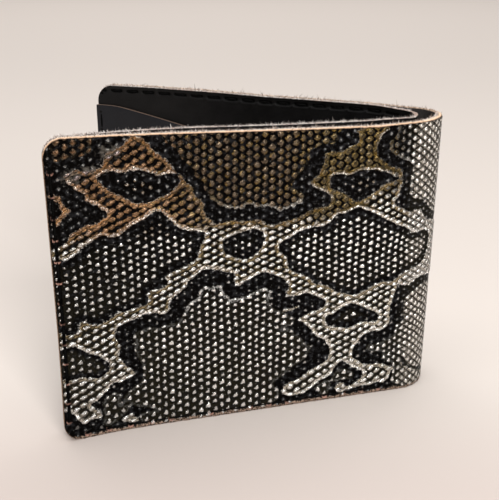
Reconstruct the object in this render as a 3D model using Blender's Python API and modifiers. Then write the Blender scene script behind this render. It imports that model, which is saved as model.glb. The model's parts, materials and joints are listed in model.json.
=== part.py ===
"""A bifold leather wallet that stands on its long edges, a little open.

Seen from above it is a V. Two flat halves leave a round bend, which is the fold, at +X. The front half is
at -Y and the back half at +Y. A cover goes round the outside and a liner round the inside, with the bill
compartment between them, and each half carries two card pockets on the liner.

A place on the wallet is given by three numbers: along, the distance on the cover's outer face from the
middle of the fold, negative on the front half and positive on the back; depth, how far inside that face
it lies; and z, its height above the table.
"""

import math

import bmesh
import bpy

MM = 0.001
SAME_POINT = 0.001 * MM  # points closer than this are joined

# Overall shape
HEIGHT = 90 * MM
HALF_LENGTH = 107.5 * MM  # flat stretch of each half
BEND_LENGTH = 29 * MM  # the cover's outer face round the bend
OPENING = math.radians(34)  # angle between the halves
CORNER_RADIUS = 5.5 * MM

# Leathers
COVER_THICKNESS = 2.0 * MM
LINER_THICKNESS = 1.3 * MM
POCKET_THICKNESS = 1.1 * MM
GAP = 0.3 * MM  # between pieces that touch on the real wallet

# Bill compartment: how much wider than GAP it stands open along its upper edge
BILL_OPENING = 4.0 * MM
FRONT_CLOSING = 45 * MM  # the front half's opening closes over this length towards its outer end
BACK_CLOSING = 13 * MM  # the back half's opening closes over this length from the bend
BOTTOM_SEAM = 4 * MM  # cover and liner are flat on each other below this height

# Card pockets
POCKET_START = 8 * MM  # from the bend
POCKET_PROUD = 0.8 * MM  # the pockets' outer ends stand out past the liner's
POCKET_TOP = 85 * MM  # height of the upper pocket's edge at its outer end
POCKET_SLOPE = math.tan(math.radians(12))
POCKET_STEP = 12 * MM  # the lower pocket's edge is this much lower

# Thread
THREAD_RADIUS = 0.35 * MM
THREAD_SUNK = 0.15 * MM  # the thread's centre below the face
EDGE_INSET = 1.5 * MM  # of the cover's seam from the cut edges
TOP_INSET = 2.8 * MM  # of the liner's seam from its upper edge
SEAM_END = 6 * MM  # the seams stop this far from the bend

# Crease lines, where the cover is parted so that it can turn
CREASE_SLIT = 0.15 * MM  # half the slit's width at the outer face
CREASE_BEVEL = math.tan(math.radians(10))  # each side leans back by this, for when the wallet closes
LINER_SLIT = 0.45 * MM

# Worked out
HALF_OPENING = OPENING / 2
BEND_RADIUS = BEND_LENGTH / (math.pi - OPENING)
BEND_END = BEND_LENGTH / 2  # along, where a half's flat stretch starts
OUTER_END = BEND_END + HALF_LENGTH
CREASE = BEND_LENGTH / 4  # along, where each crease line runs
LINER_DEPTH = COVER_THICKNESS + GAP
UPPER_POCKET_DEPTH = LINER_THICKNESS + GAP  # from the liner's outer face
LOWER_POCKET_DEPTH = UPPER_POCKET_DEPTH + POCKET_THICKNESS + GAP
INNERMOST = LINER_DEPTH + LOWER_POCKET_DEPTH + POCKET_THICKNESS
# The bend's centre is placed so that X = 0 is the middle of the whole wallet.
REACH = (HALF_LENGTH + POCKET_PROUD) * math.cos(HALF_OPENING) + INNERMOST * math.sin(HALF_OPENING)
BEND_CENTRE_X = (REACH - BEND_RADIUS * math.sin(HALF_OPENING) - BEND_RADIUS) / 2

CORNER_STEPS = 4
ROWS = 7
TOP_SEAM_STEPS = 14


def plan(along, depth):
    """The place, seen from above, of a point `along` the cover and `depth` inside its outer face.

    Round the bend it is a circle's point at the angle along / radius. Past the bend it goes straight on
    in the direction that the circle ends in.
    """
    side = math.copysign(1, along)
    round_bend = min(abs(along), BEND_END)
    straight = abs(along) - round_bend
    angle = round_bend / BEND_RADIUS
    out_x, out_y = math.cos(angle), side * math.sin(angle)
    away_x, away_y = -math.sin(angle), side * math.cos(angle)
    radius = BEND_RADIUS - depth
    return (
        BEND_CENTRE_X + radius * out_x + straight * away_x,
        radius * out_y + straight * away_y,
    )


def place(along, depth, z):
    x, y = plan(along, depth)
    return x, y, z


def smooth(t):
    """0 below 0, 1 above 1, and a smooth rise between them."""
    t = min(max(t, 0), 1)
    return t * t * (3 - 2 * t)


def liner_depth(along, z):
    """Depth of the liner's outer face: it leans away from the cover, from the bottom seam up."""
    rise = min(max((z - BOTTOM_SEAM) / (HEIGHT - BOTTOM_SEAM), 0), 1)
    if along < 0:
        spread = smooth((OUTER_END + along) / FRONT_CLOSING)
    else:
        spread = 1 - smooth((along - BEND_END) / BACK_CLOSING)
    return LINER_DEPTH + BILL_OPENING * spread * rise


def corner(step):
    """How far in from the end, and how far up from the edge, a rounded corner is at one of its steps."""
    angle = math.pi / 2 * step / CORNER_STEPS
    return CORNER_RADIUS * (1 - math.cos(angle)), CORNER_RADIUS * (1 - math.sin(angle))


def half_columns(end, stops, top_corner=True):
    """Columns of a half's sheet, from its outer end inwards: (along, lowest z, highest z)."""
    columns = []
    for step in range(CORNER_STEPS + 1):
        inset, lift = corner(step)
        columns.append((end - inset, lift, HEIGHT - lift if top_corner else HEIGHT))
    return columns + [(stop, 0, HEIGHT) for stop in stops]


def evenly(first, last, count):
    return [first + (last - first) * i / count for i in range(count + 1)]


def material(name, color, roughness, metallic=0.0):
    made = bpy.data.materials.new(name)
    made.use_nodes = True
    shader = made.node_tree.nodes["Principled BSDF"]
    shader.inputs["Base Color"].default_value = (*color, 1)
    shader.inputs["Roughness"].default_value = roughness
    shader.inputs["Metallic"].default_value = metallic
    return made


def new_object(name, mesh, collection, finish=None):
    made = bpy.data.objects.new(name, mesh)
    collection.objects.link(made)
    if finish:
        mesh.materials.append(finish)
    return made


def as_cutter(cutter):
    cutter.hide_render = True
    cutter.display_type = "WIRE"
    return cutter


def sheet(name, side, columns, rows, depth_at, thickness, finish):
    """A leather sheet: a grid whose points are placed by column and row, then given its thickness.

    side is -1 on the front half and 1 on the back. The grid is the sheet's outer face.
    """
    bm = bmesh.new()
    last = len(columns) - 1
    bmesh.ops.create_grid(bm, x_segments=last, y_segments=rows, size=1)
    for vertex in bm.verts:
        along, low, high = columns[round((vertex.co.x + 1) / 2 * last)]
        z = low + (high - low) * (vertex.co.y + 1) / 2
        along *= side
        vertex.co = place(along, depth_at(along, z), z)
    # The grid's faces have to look away from the V's inside before the thickness is added.
    first = columns[0][0] * side
    if first > columns[-1][0] * side:
        bmesh.ops.reverse_faces(bm, faces=bm.faces)
    mesh = bpy.data.meshes.new(name)
    bm.to_mesh(mesh)
    bm.free()
    made = new_object(name, mesh, wallet, finish)
    solid = made.modifiers.new("Thickness", "SOLIDIFY")
    solid.thickness = thickness
    solid.offset = -1
    solid.use_even_offset = True
    return made


def tube(name, points, radius, collection, finish=None):
    """A round tube through the points, with filled ends."""
    curve = bpy.data.curves.new(name, "CURVE")
    curve.dimensions = "3D"
    curve.bevel_depth = radius
    curve.bevel_resolution = 1
    curve.use_fill_caps = True
    spline = curve.splines.new("POLY")
    spline.points.add(len(points) - 1)
    for spline_point, point in zip(spline.points, points):
        spline_point.co = (*point, 1)
    return new_object(name, curve, collection, finish)


def tube_mesh(name, points, radius, collection):
    """The same tube as a closed mesh, which can cut."""
    source = tube(name + "_path", points, radius, collection)
    evaluated = source.evaluated_get(bpy.context.evaluated_depsgraph_get())
    mesh = bpy.data.meshes.new_from_object(evaluated)
    mesh.name = name
    made = new_object(name, mesh, collection)
    made.matrix_world = source.matrix_world
    bpy.data.objects.remove(source)
    bm = bmesh.new()
    bm.from_mesh(mesh)
    bmesh.ops.remove_doubles(bm, verts=bm.verts, dist=SAME_POINT)
    bm.to_mesh(mesh)
    bm.free()
    return made


def cut(target, cutter):
    boolean = target.modifiers.new("Cut " + cutter.name, "BOOLEAN")
    boolean.operation = "DIFFERENCE"
    boolean.solver = "EXACT"
    boolean.object = cutter


def crease_cutter(name, along):
    """The wedge that parts the cover at a crease line: narrow outside and wider inside."""
    outside, inside, past = -0.5 * MM, 4 * MM, 1 * MM
    bm = bmesh.new()
    bmesh.ops.create_cube(bm, size=2)
    for vertex in bm.verts:
        depth = outside if vertex.co.x > 0 else inside
        half_width = CREASE_SLIT + depth * CREASE_BEVEL
        x, y = plan(along, depth)
        angle = along / BEND_RADIUS
        sideways = half_width * vertex.co.y
        z = HEIGHT + past if vertex.co.z > 0 else -past
        vertex.co = (x - math.sin(angle) * sideways, y + math.cos(angle) * sideways, z)
    bmesh.ops.recalc_face_normals(bm, faces=bm.faces)
    mesh = bpy.data.meshes.new(name)
    bm.to_mesh(mesh)
    bm.free()
    return as_cutter(new_object(name, mesh, cutters))


def edge_seam(side, reach=0.0):
    """The seam's line on the cover: down the outer end, round the corner and along the bottom."""
    line_end = OUTER_END - EDGE_INSET
    radius = CORNER_RADIUS - EDGE_INSET
    points = [(line_end, HEIGHT - 2 * EDGE_INSET + reach)]
    for step in range(CORNER_STEPS + 1):
        angle = math.pi / 2 * step / CORNER_STEPS
        inset = radius * (1 - math.cos(angle))
        lift = radius * (1 - math.sin(angle))
        points.append((line_end - inset, EDGE_INSET + lift))
    points.append((BEND_END + SEAM_END - reach, EDGE_INSET))
    return [place(side * along, THREAD_SUNK, z) for along, z in points]


def top_seam(side, reach=0.0):
    """The seam's line on the liner's inner face, along its upper edge."""
    z = HEIGHT - TOP_INSET
    stops = evenly(OUTER_END - 2 * TOP_INSET + reach, BEND_END + SEAM_END - reach, TOP_SEAM_STEPS)
    face = LINER_THICKNESS - THREAD_SUNK
    return [place(side * along, liner_depth(side * along, z) + face, z) for along in stops]


def make_thread(kind, side_name, side, line, leather):
    """The thread, and the groove that it lies in."""
    name = "thread_" + kind + "_" + side_name
    tube(name, line(side), THREAD_RADIUS, wallet, thread_black)
    groove = tube_mesh("groove_" + kind + "_" + side_name, line(side, GAP), THREAD_RADIUS + GAP, cutters)
    cut(leather, as_cutter(groove))


def make_half(side_name, side):
    """Cover, liner, card pockets and thread of one half."""
    bend = evenly(BEND_END, CREASE, 4)
    cover = sheet(
        "cover_" + side_name, side, half_columns(OUTER_END, bend), 1,
        lambda along, z: 0, COVER_THICKNESS, cover_leather,
    )
    cut(cover, crease_cutters[side])

    stops = evenly(OUTER_END - 2 * CORNER_RADIUS, BEND_END + BACK_CLOSING, 6)
    stops += evenly(BEND_END + BACK_CLOSING, BEND_END, 4)[1:]
    stops += evenly(BEND_END, CREASE + LINER_SLIT, 4)[1:]
    liner = sheet(
        "liner_" + side_name, side, half_columns(OUTER_END, stops), ROWS,
        liner_depth, LINER_THICKNESS, liner_leather,
    )

    make_thread("edge", side_name, side, edge_seam, cover)
    make_thread("top", side_name, side, top_seam, liner)
    make_pocket("upper", side_name, side, UPPER_POCKET_DEPTH, 0)
    make_pocket("lower", side_name, side, LOWER_POCKET_DEPTH, POCKET_STEP)


def make_pocket(level, side_name, side, depth, drop):
    """A card pocket: a sheet whose upper edge slants down towards the fold."""
    end = OUTER_END + POCKET_PROUD
    columns = []
    for step in range(CORNER_STEPS + 1):
        inset, lift = corner(step)
        columns.append((end - inset, lift))
    stops = evenly(end - 2 * CORNER_RADIUS, BEND_END + POCKET_START, 8)
    columns += [(stop, 0) for stop in stops]
    slanted = [(along, low, POCKET_TOP - drop - (end - along) * POCKET_SLOPE) for along, low in columns]
    sheet(
        "card_pocket_" + side_name + "_" + level, side, slanted, ROWS,
        lambda along, z: liner_depth(along, z) + depth, POCKET_THICKNESS, pocket_leather,
    )


def make_spine():
    """Cover and liner between the two crease lines."""
    cover = sheet(
        "cover_spine", 1, [(along, 0, HEIGHT) for along in evenly(-CREASE, CREASE, 8)], 1,
        lambda along, z: 0, COVER_THICKNESS, cover_leather,
    )
    cut(cover, crease_cutters[-1])
    cut(cover, crease_cutters[1])
    reach = CREASE - LINER_SLIT
    sheet(
        "liner_spine", 1, [(along, 0, HEIGHT) for along in evenly(-reach, reach, 8)], ROWS,
        liner_depth, LINER_THICKNESS, liner_leather,
    )


for old in list(bpy.data.objects):
    bpy.data.objects.remove(old)

wallet = bpy.data.collections.new("bifold_wallet")
cutters = bpy.data.collections.new("cutters")
for collection in (wallet, cutters):
    bpy.context.scene.collection.children.link(collection)

cover_leather = material("cover_leather", (0.32, 0.28, 0.22), 0.35, 0.4)
liner_leather = material("liner_leather", (0.012, 0.012, 0.013), 0.45)
pocket_leather = material("pocket_leather", (0.022, 0.023, 0.026), 0.5)
thread_black = material("thread_black", (0.01, 0.01, 0.01), 0.7)

crease_cutters = {
    -1: crease_cutter("crease_front", -CREASE),
    1: crease_cutter("crease_back", CREASE),
}

make_half("front", -1)
make_half("back", 1)
make_spine()
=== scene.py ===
# %% [markdown]
# # A bifold wallet in python-embossed leather
#
# The real object is a leather wallet that stands on its long edges, a little open, so from above it is
# a V with a round bend. Its cover is black leather, embossed with the scales of a python and printed
# with metal foil that stays on the raised scales only. Inside are a black lining and card pockets.
# The solids give the places of all pieces. This lesson dresses them, piece by piece.

import json
import math

import bpy
import numpy as np
from mathutils import Matrix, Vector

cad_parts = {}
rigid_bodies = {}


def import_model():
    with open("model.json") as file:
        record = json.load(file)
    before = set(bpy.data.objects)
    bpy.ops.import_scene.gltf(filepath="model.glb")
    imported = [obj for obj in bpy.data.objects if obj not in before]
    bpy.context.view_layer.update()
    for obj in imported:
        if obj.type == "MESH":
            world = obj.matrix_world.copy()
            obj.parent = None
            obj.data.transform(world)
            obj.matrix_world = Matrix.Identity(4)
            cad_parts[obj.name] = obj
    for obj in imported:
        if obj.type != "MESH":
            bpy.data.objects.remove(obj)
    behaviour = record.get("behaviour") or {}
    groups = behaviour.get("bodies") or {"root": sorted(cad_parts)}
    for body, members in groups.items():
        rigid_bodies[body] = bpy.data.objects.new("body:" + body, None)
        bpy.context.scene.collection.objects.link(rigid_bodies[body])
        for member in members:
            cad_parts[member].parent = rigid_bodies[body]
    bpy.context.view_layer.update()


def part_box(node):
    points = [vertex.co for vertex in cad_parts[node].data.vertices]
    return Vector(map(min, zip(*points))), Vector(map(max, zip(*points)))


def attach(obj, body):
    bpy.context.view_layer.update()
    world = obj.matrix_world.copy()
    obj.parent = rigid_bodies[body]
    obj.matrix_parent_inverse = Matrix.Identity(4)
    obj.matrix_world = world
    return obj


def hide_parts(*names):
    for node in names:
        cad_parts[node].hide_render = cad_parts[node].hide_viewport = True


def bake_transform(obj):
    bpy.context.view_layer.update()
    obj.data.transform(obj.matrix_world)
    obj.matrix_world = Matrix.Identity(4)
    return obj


for old in list(bpy.data.objects):
    bpy.data.objects.remove(old)
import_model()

# %% [markdown]
# ## Places on the wallet
#
# A leather sheet that goes round a bend is easiest to describe as if it lay flat. A place is given by
# three numbers in millimetres: `along`, the distance on the cover's outer face from the middle of the
# bend, negative on the front half; `depth`, how far inside that face; and `z`, the height. One function
# turns them into a point. The sizes are the ones that the solids were made from.

# %% Sizes, in millimetres
MM = 0.001
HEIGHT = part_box("cover_front")[1][2] / MM
HALF_LENGTH = 107.5
BEND_LENGTH = 29.0
OPENING = math.radians(34)
CORNER_RADIUS = 5.5
COVER_THICKNESS = 2.0
LINER_THICKNESS = 1.3
POCKET_THICKNESS = 1.1
GAP = 0.3
BOTTOM_SEAM = 4.0

BEND_RADIUS = BEND_LENGTH / (math.pi - OPENING)
BEND_END = BEND_LENGTH / 2
OUTER_END = BEND_END + HALF_LENGTH
CREASE = BEND_LENGTH / 4
LINER_DEPTH = COVER_THICKNESS + GAP
# The bend's outermost point touches the side of the frame's box.
BEND_CENTRE_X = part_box("cover_spine")[1][0] / MM - BEND_RADIUS
print("height", HEIGHT, "bend radius", round(BEND_RADIUS, 2), "bend centre", round(BEND_CENTRE_X, 2))


# %% From a place to a point
def place(along, depth, z):
    """The point of a place, in mm. Round the bend, angle = along / radius and the point is
    centre + (radius - depth) * (cos angle, sin angle). Past the bend it goes straight on, at right angles."""
    along, depth, z = np.broadcast_arrays(along, depth, z)
    side = np.where(along < 0, -1.0, 1.0)
    bend = np.minimum(np.abs(along), BEND_END)
    straight = np.abs(along) - bend
    angle = bend / BEND_RADIUS
    radius = BEND_RADIUS - depth
    x = BEND_CENTRE_X + radius * np.cos(angle) - straight * np.sin(angle)
    y = side * (radius * np.sin(angle) + straight * np.cos(angle))
    return np.stack([x, y, z], -1)


def smooth(t):
    """0 below 0, 1 above 1, and 3t^2 - 2t^3 between them."""
    t = np.clip(t, 0, 1)
    return t * t * (3 - 2 * t)


print("outer end of the front half:", np.round(place(-OUTER_END, 0, 0), 1))

# %% [markdown]
# The lining leans away from the cover, so that the bill compartment between them stands open at the top.
# At the bend it makes a loose loop. All the inner leather lies on it, so its depth comes first.

# %% Depth of the lining, in millimetres along the cover and into it
BILL_OPENING = 4.0
BEND_SLACK = 1.1  # what the opening gains on its way to the bend
SLACK_START = -60.0
SLACK_GROWTH = 35.0
FRONT_CLOSING = 45.0
BACK_START = -3.0
BACK_CLOSING = 29.0
PINCH = 1.5
PINCH_PLACE = -13.0
PINCH_WIDTH = 7.0


def liner_depth(along, z):
    """depth = cover + gap + (opening(along) * front(along) * back(along) - pinch(along)) * rise(z).
    The opening is widest at the bend. front and back close it towards the ends, the back one slowly at
    first, so that the loop at the bend stays round. pinch is size * exp(-((along - place) / width)^2): the
    lining comes a little nearer to the cover just before the bend."""
    rise = np.clip((z - BOTTOM_SEAM) / (HEIGHT - BOTTOM_SEAM), 0, 1)
    opening = BILL_OPENING + BEND_SLACK * smooth((along - SLACK_START) / SLACK_GROWTH)
    front = smooth((OUTER_END + along) / FRONT_CLOSING)
    back = 1 - smooth((along - BACK_START) / BACK_CLOSING) ** 2
    pinch = PINCH * np.exp(-(((along - PINCH_PLACE) / PINCH_WIDTH) ** 2))
    return LINER_DEPTH + (opening * front * back - pinch) * rise


print("the lining's depth at the top of the bend:", round(float(liner_depth(0, HEIGHT)), 2))

# %% [markdown]
# ## The camera
#
# The wallet is seen from above its own height, about 25 cm away. The camera's place and directions are
# those that make the wallet's corners and edges fall where they are in the picture.

# %% Camera
CAMERA_PLACE = (4.65, -252.2, 141.5)
CAMERA_YAW = math.radians(-1.33)
CAMERA_PITCH = math.radians(21.12)
CAMERA_ROLL = math.radians(0.10)
CAMERA_LENS = 60.3

forward = np.array([
    math.sin(CAMERA_YAW) * math.cos(CAMERA_PITCH),
    math.cos(CAMERA_YAW) * math.cos(CAMERA_PITCH),
    -math.sin(CAMERA_PITCH),
])
level = np.array([math.cos(CAMERA_YAW), -math.sin(CAMERA_YAW), 0])
upward = np.cross(level, forward)
right = math.cos(CAMERA_ROLL) * level + math.sin(CAMERA_ROLL) * upward
up = math.cos(CAMERA_ROLL) * upward - math.sin(CAMERA_ROLL) * level
camera = bpy.data.objects.new("camera", bpy.data.cameras.new("camera"))
camera.data.lens = CAMERA_LENS
camera.data.clip_start = 0.01
turn = Matrix(np.stack([right, up, -forward], 1).tolist()).to_4x4()
camera.matrix_world = Matrix.Translation([c * MM for c in CAMERA_PLACE]) @ turn
bpy.context.scene.collection.objects.link(camera)
bpy.context.scene.camera = camera
print("camera looks down by", round(math.degrees(CAMERA_PITCH), 1), "degrees")

# %% [markdown]
# ## Writing materials as expressions
#
# A material is a graph of nodes, and long graphs are hard to read as links. Here a socket is wrapped in
# a small class whose operators add Math nodes, so `1 - mask * 0.5` is written as it is thought. One
# method adds any other kind of node, and short helpers stand for the kinds used most.


# %% A socket that can be calculated with
class Socket:
    """An output of a node. Each operator adds the Math node of its name and gives that node's output."""

    def __init__(self, finish, output):
        self.finish = finish
        self.output = output

    def math(self, operation, *others):
        """The result of a Math node. Its inputs are this socket and then the others."""
        return self.finish.node("ShaderNodeMath", {"operation": operation}, dict(enumerate((self, *others))))

    def __add__(self, other):
        return self.math("ADD", other)

    def __sub__(self, other):
        return self.math("SUBTRACT", other)

    def __mul__(self, other):
        return self.math("MULTIPLY", other)

    def __rsub__(self, other):
        return (self * -1) + other

    __radd__ = __add__
    __rmul__ = __mul__

    def least(self, other):
        return self.math("MINIMUM", other)

    def most(self, other):
        return self.math("MAXIMUM", other)

    def rise(self, low, high):
        """0 below low, 1 above high, and smooth between them."""
        settings = {"interpolation_type": "SMOOTHSTEP"}
        return self.finish.node("ShaderNodeMapRange", settings, {0: self, 1: low, 2: high})

    def fall(self, low, high):
        """1 below low, 0 above high, and smooth between them."""
        return 1 - self.rise(low, high)

    def between(self, start, full, end, gone):
        """Rises from 0 to 1 between the first two numbers, and falls back to 0 between the last two."""
        return self.rise(start, full) * self.fall(end, gone)


def length(across, upward):
    """Length of an arrow with these two parts: the root of the sum of their squares."""
    return (across * across + upward * upward).math("SQRT")


# %% A material under construction
UV_UNIT = 100  # mm, or scales, in one unit of the UV maps


class Finish:
    """A material under construction around its Principled shader."""

    def __init__(self, name):
        self.material = bpy.data.materials.new(name)
        self.material.use_nodes = True
        self.tree = self.material.node_tree
        self.shader = self.tree.nodes["Principled BSDF"]

    def feed(self, socket, value):
        """Links a Socket to an input, or sets the input to a colour or number."""
        if isinstance(value, Socket):
            self.tree.links.new(value.output, socket)
        elif isinstance(value, tuple) and socket.type == "RGBA":
            socket.default_value = (*value, 1)
        else:
            socket.default_value = value

    def node(self, kind, settings=None, sockets=None, output=0):
        """Adds a node, feeds its inputs by name or number, and gives one of its outputs as a Socket."""
        node = self.tree.nodes.new(kind)
        for name, value in (settings or {}).items():
            setattr(node, name, value)
        for name, value in (sockets or {}).items():
            self.feed(node.inputs[name], value)
        return Socket(self, node.outputs[output])

    def attribute(self, name):
        """A map that the mesh carries as one number on each point."""
        return self.node("ShaderNodeAttribute", {"attribute_name": name}, output=2)

    def uv(self, name):
        return self.node("ShaderNodeUVMap", {"uv_map": name})

    def part(self, where, number):
        """One number of a place on a UV map, 0 for its first: mm on "leather", scales on "scales"."""
        return self.node("ShaderNodeSeparateXYZ", {}, {0: where}, output=number) * UV_UNIT

    def blend(self, share, first, second):
        """A colour between two: first where share is 0, second where it is 1."""
        return self.node("ShaderNodeMix", {"data_type": "RGBA"}, {0: share, 6: first, 7: second}, output=2)

    def scaled(self, colour, factor):
        """A colour times a number."""
        factors = self.node("ShaderNodeCombineXYZ", {}, {0: factor, 1: factor, 2: factor})
        settings = {"data_type": "RGBA", "blend_type": "MULTIPLY"}
        return self.node("ShaderNodeMix", settings, {0: 1.0, 6: colour, 7: factors}, output=2)

    def noise(self, where, scale, detail=2.0):
        """Random hills between 0 and 1, 0.5 in the mean, `scale` of them in a unit of the coordinates."""
        return self.node("ShaderNodeTexNoise", {}, {"Vector": where, "Scale": scale, "Detail": detail})

    def surface(self, bump=None, distance=0.1, **sockets):
        """Feeds the Principled shader. bump is a height; the Bump node turns it into a normal."""
        for name, value in sockets.items():
            self.feed(self.shader.inputs[name.replace("_", " ")], value)
        if bump is not None:
            normal = self.node("ShaderNodeBump", {}, {"Height": bump, "Distance": distance * MM})
            self.feed(self.shader.inputs["Normal"], normal)
        return self.material


print("expression helpers are ready")

# %% [markdown]
# ## Meshes from arrays
#
# Every sheet of the wallet is a closed shell: an outer grid of points, an inner grid and the cut edge
# between them. The outer grid carries the embossing and has to be fine. The inner one is smooth, so
# only every fourth point of it is kept, except along the edge, where it has to meet the fine one.


# %% From arrays to an object
SHARP_ANGLE = math.radians(60)  # edges that turn by more look sharp


def make_piece(name, points, faces, kinds=None, materials=(), uvs=None, attributes=None):
    """A mesh object from points in mm and a list of face arrays, turned so that its faces look outwards.
    The sign of the sum of a . (b x c) over the faces' triangles tells which way they look."""
    corners = np.concatenate([f.ravel() for f in faces])
    sizes = np.concatenate([np.full(len(f), f.shape[1]) for f in faces])
    fans = np.concatenate([f[:, [0, k, k + 1]] for f in faces for k in range(1, f.shape[1] - 1)])
    a, b, c = (points[fans[:, k]] for k in range(3))
    if np.einsum("ij,ij->", a, np.cross(b, c)) < 0:
        corners = np.concatenate([f[:, ::-1].ravel() for f in faces])
    starts = np.cumsum(sizes) - sizes
    mesh = bpy.data.meshes.new(name)
    mesh.vertices.add(len(points))
    mesh.vertices.foreach_set("co", (points * MM).astype(np.float32).ravel())
    mesh.loops.add(len(corners))
    mesh.loops.foreach_set("vertex_index", corners.astype(np.int32))
    mesh.polygons.add(len(sizes))
    mesh.polygons.foreach_set("loop_start", starts.astype(np.int32))
    mesh.polygons.foreach_set("loop_total", sizes.astype(np.int32))
    mesh.update(calc_edges=True)
    for uv_name, values in (uvs or {}).items():
        layer = mesh.uv_layers.new(name=uv_name)
        layer.data.foreach_set("uv", values[corners].astype(np.float32).ravel())
    for attribute_name, values in (attributes or {}).items():
        made = mesh.attributes.new(attribute_name, "FLOAT", "POINT")
        made.data.foreach_set("value", values.astype(np.float32))
    for material in materials:
        mesh.materials.append(material)
    if kinds is not None:
        mesh.polygons.foreach_set("material_index", kinds.astype(np.int32))
    mesh.shade_smooth()
    mesh.set_sharp_from_angle(angle=SHARP_ANGLE)
    piece = bpy.data.objects.new(name, mesh)
    bpy.context.scene.collection.objects.link(piece)
    print(name, len(fans), "triangles")
    return piece


# %% The quads of a grid
def grid_quads(numbers):
    """The quads of a grid whose points are numbered by a two-dimensional array."""
    around = [numbers[:-1, :-1], numbers[1:, :-1], numbers[1:, 1:], numbers[:-1, 1:]]
    return np.stack(around, -1).reshape(-1, 4)


# %% A closed sheet
def closed_sheet(outer, inner, layers=3, step=4):
    """Points, faces and kinds (0 outer, 1 cut edge, 2 inner) of a closed sheet between two grids, and for
    each point the number of the outer grid's point that it belongs to. The cut edge is
    outer + t (inner - outer) for t from 0 to 1. Inside, every step-th point is joined to the edge by
    triangles."""
    rows, columns = outer.shape[:2]
    index = np.arange(rows * columns).reshape(rows, columns)
    ring = np.concatenate([index[0, :-1], index[:-1, -1], index[-1, :0:-1], index[:0:-1, 0]])
    flat_outer, flat_inner = outer.reshape(-1, 3), inner.reshape(-1, 3)
    shares = np.linspace(0, 1, layers + 1)[1:]
    walls = [flat_outer[ring] * (1 - t) + flat_inner[ring] * t for t in shares]
    coarse_rows = np.arange(step, rows - step, step)
    coarse_columns = np.arange(step, columns - step, step)
    coarse = index[np.ix_(coarse_rows, coarse_columns)]
    points = np.concatenate([flat_outer, *walls, flat_inner[coarse.ravel()]])
    source = np.concatenate([index.ravel()] + [ring] * layers + [coarse.ravel()])

    first = index.size + len(ring) * np.arange(layers)
    rings = [ring] + [start + np.arange(len(ring)) for start in first]
    wall_faces = []
    for near, far in zip(rings, rings[1:]):
        wall_faces.append(np.stack([near, np.roll(near, -1), np.roll(far, -1), far], -1))
    numbers = index.size + len(ring) * layers + np.arange(coarse.size).reshape(coarse.shape)
    row = np.clip(np.round(ring // columns / step).astype(int) - 1, 0, len(coarse_rows) - 1)
    column = np.clip(np.round(ring % columns / step).astype(int) - 1, 0, len(coarse_columns) - 1)
    nearest = numbers[row, column]
    last, after = rings[-1], np.roll(rings[-1], -1)
    nearest_after = np.roll(nearest, -1)
    changed = nearest != nearest_after
    zip_one = np.stack([last, after, nearest], -1)
    zip_two = np.stack([nearest, after, nearest_after], -1)[changed]
    faces = [grid_quads(index), *wall_faces, zip_one, zip_two, grid_quads(numbers)[:, ::-1]]
    kind_of = [0] + [1] * layers + [2, 2, 2]
    kinds = np.concatenate([np.full(len(f), kind) for f, kind in zip(faces, kind_of)])
    return points, faces, kinds, source


def sheet_uv(across, upward, source):
    """UV coordinates of a closed sheet's points from two maps of its outer grid."""
    return np.stack([across.ravel(), upward.ravel()], -1)[source] / UV_UNIT


print("sheet helpers are ready")

# %% [markdown]
# ## The python marking
#
# A python's back has dark blotches and bands on a light ground. The embossed leather repeats it: the
# foil covers the ground's scales nearly whole, in a blotch it is left only on the scales' tips, and a
# band has next to none. The outlines are drawn as points on the flat leather, in millimetres
# from the front half's outer end and from the bottom edge, and a smooth curve goes through them.

# %% Dark shapes
TOP_CORNER = [
    (-2, 92), (23.3, 92), (22.7, 89.5), (21.7, 88.5), (20.7, 87.5), (18.5, 86.4), (16.4, 85.7),
    (15.8, 84.2), (15.5, 82.7), (14.2, 81.5), (11, 81), (9, 81.4), (7, 81), (5.1, 79.7), (5.7, 78.3),
    (6.7, 77), (8.5, 75.4), (9.9, 74.6), (10.3, 73), (11.2, 72.1), (12.7, 71.5), (14, 70.3), (15.5, 69.1),
    (15.6, 68), (14, 67.3), (13, 66.3), (11, 66), (9.3, 65.6), (7.7, 64.7), (5.8, 64), (5, 62.6),
    (4, 61.3), (2.6, 60.6), (0.5, 59.6), (-2, 59.4),
]
TOP_MIDDLE = [
    (26.3, 92), (26.7, 89), (27.7, 87.7), (29, 86), (30.3, 84.7), (32, 83.5), (33.3, 82), (34.3, 80.7),
    (35, 79.5), (36.3, 78.5), (37.3, 77.2), (38, 76), (39.5, 75.2), (39.8, 74), (40.2, 72.3), (41.7, 71),
    (42.7, 69.7), (42.6, 68), (43.3, 66), (44.7, 65), (45.4, 63.6), (46.7, 63.5), (50, 64.1), (54, 63.7),
    (58.3, 63.8), (59.7, 63.5), (61, 62.2), (64, 61.8), (66, 62.7), (70, 63.3), (73.3, 65), (76.7, 66),
    (79.2, 66.4), (80.6, 67.8), (80, 69.7), (78.2, 71), (76.3, 71.8), (74.8, 72.8), (74.2, 74), (74.7, 75),
    (76.3, 76.2), (77, 77.7), (77.8, 79.3), (78.2, 81), (78.3, 82.7), (80, 83.2), (82.7, 83), (84, 83.5),
    (86, 84.5), (88.2, 85.6), (88.2, 87.5), (87.7, 89), (88, 92),
]
UPPER_LENS = [
    (13.8, 78.7), (15, 79.8), (16.5, 80.3), (18, 80.3), (20, 79.8), (21.3, 79.8), (23, 80.4), (24.7, 80.4),
    (26.3, 80), (28, 79.3), (29.5, 78.6), (31, 78.4), (32.3, 78.8), (34.3, 79), (35.6, 78.1), (35.8, 76.6),
    (34.9, 75.1), (33.7, 74), (32.3, 72.9), (30.5, 72.5), (29, 71.9), (27.3, 71.3), (25.7, 71), (24, 71.2),
    (22.3, 71.8), (21, 72.7), (19.7, 73.5), (18.3, 74.2), (17, 75.2), (15.7, 76.3), (14.3, 77.6),
]
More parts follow.
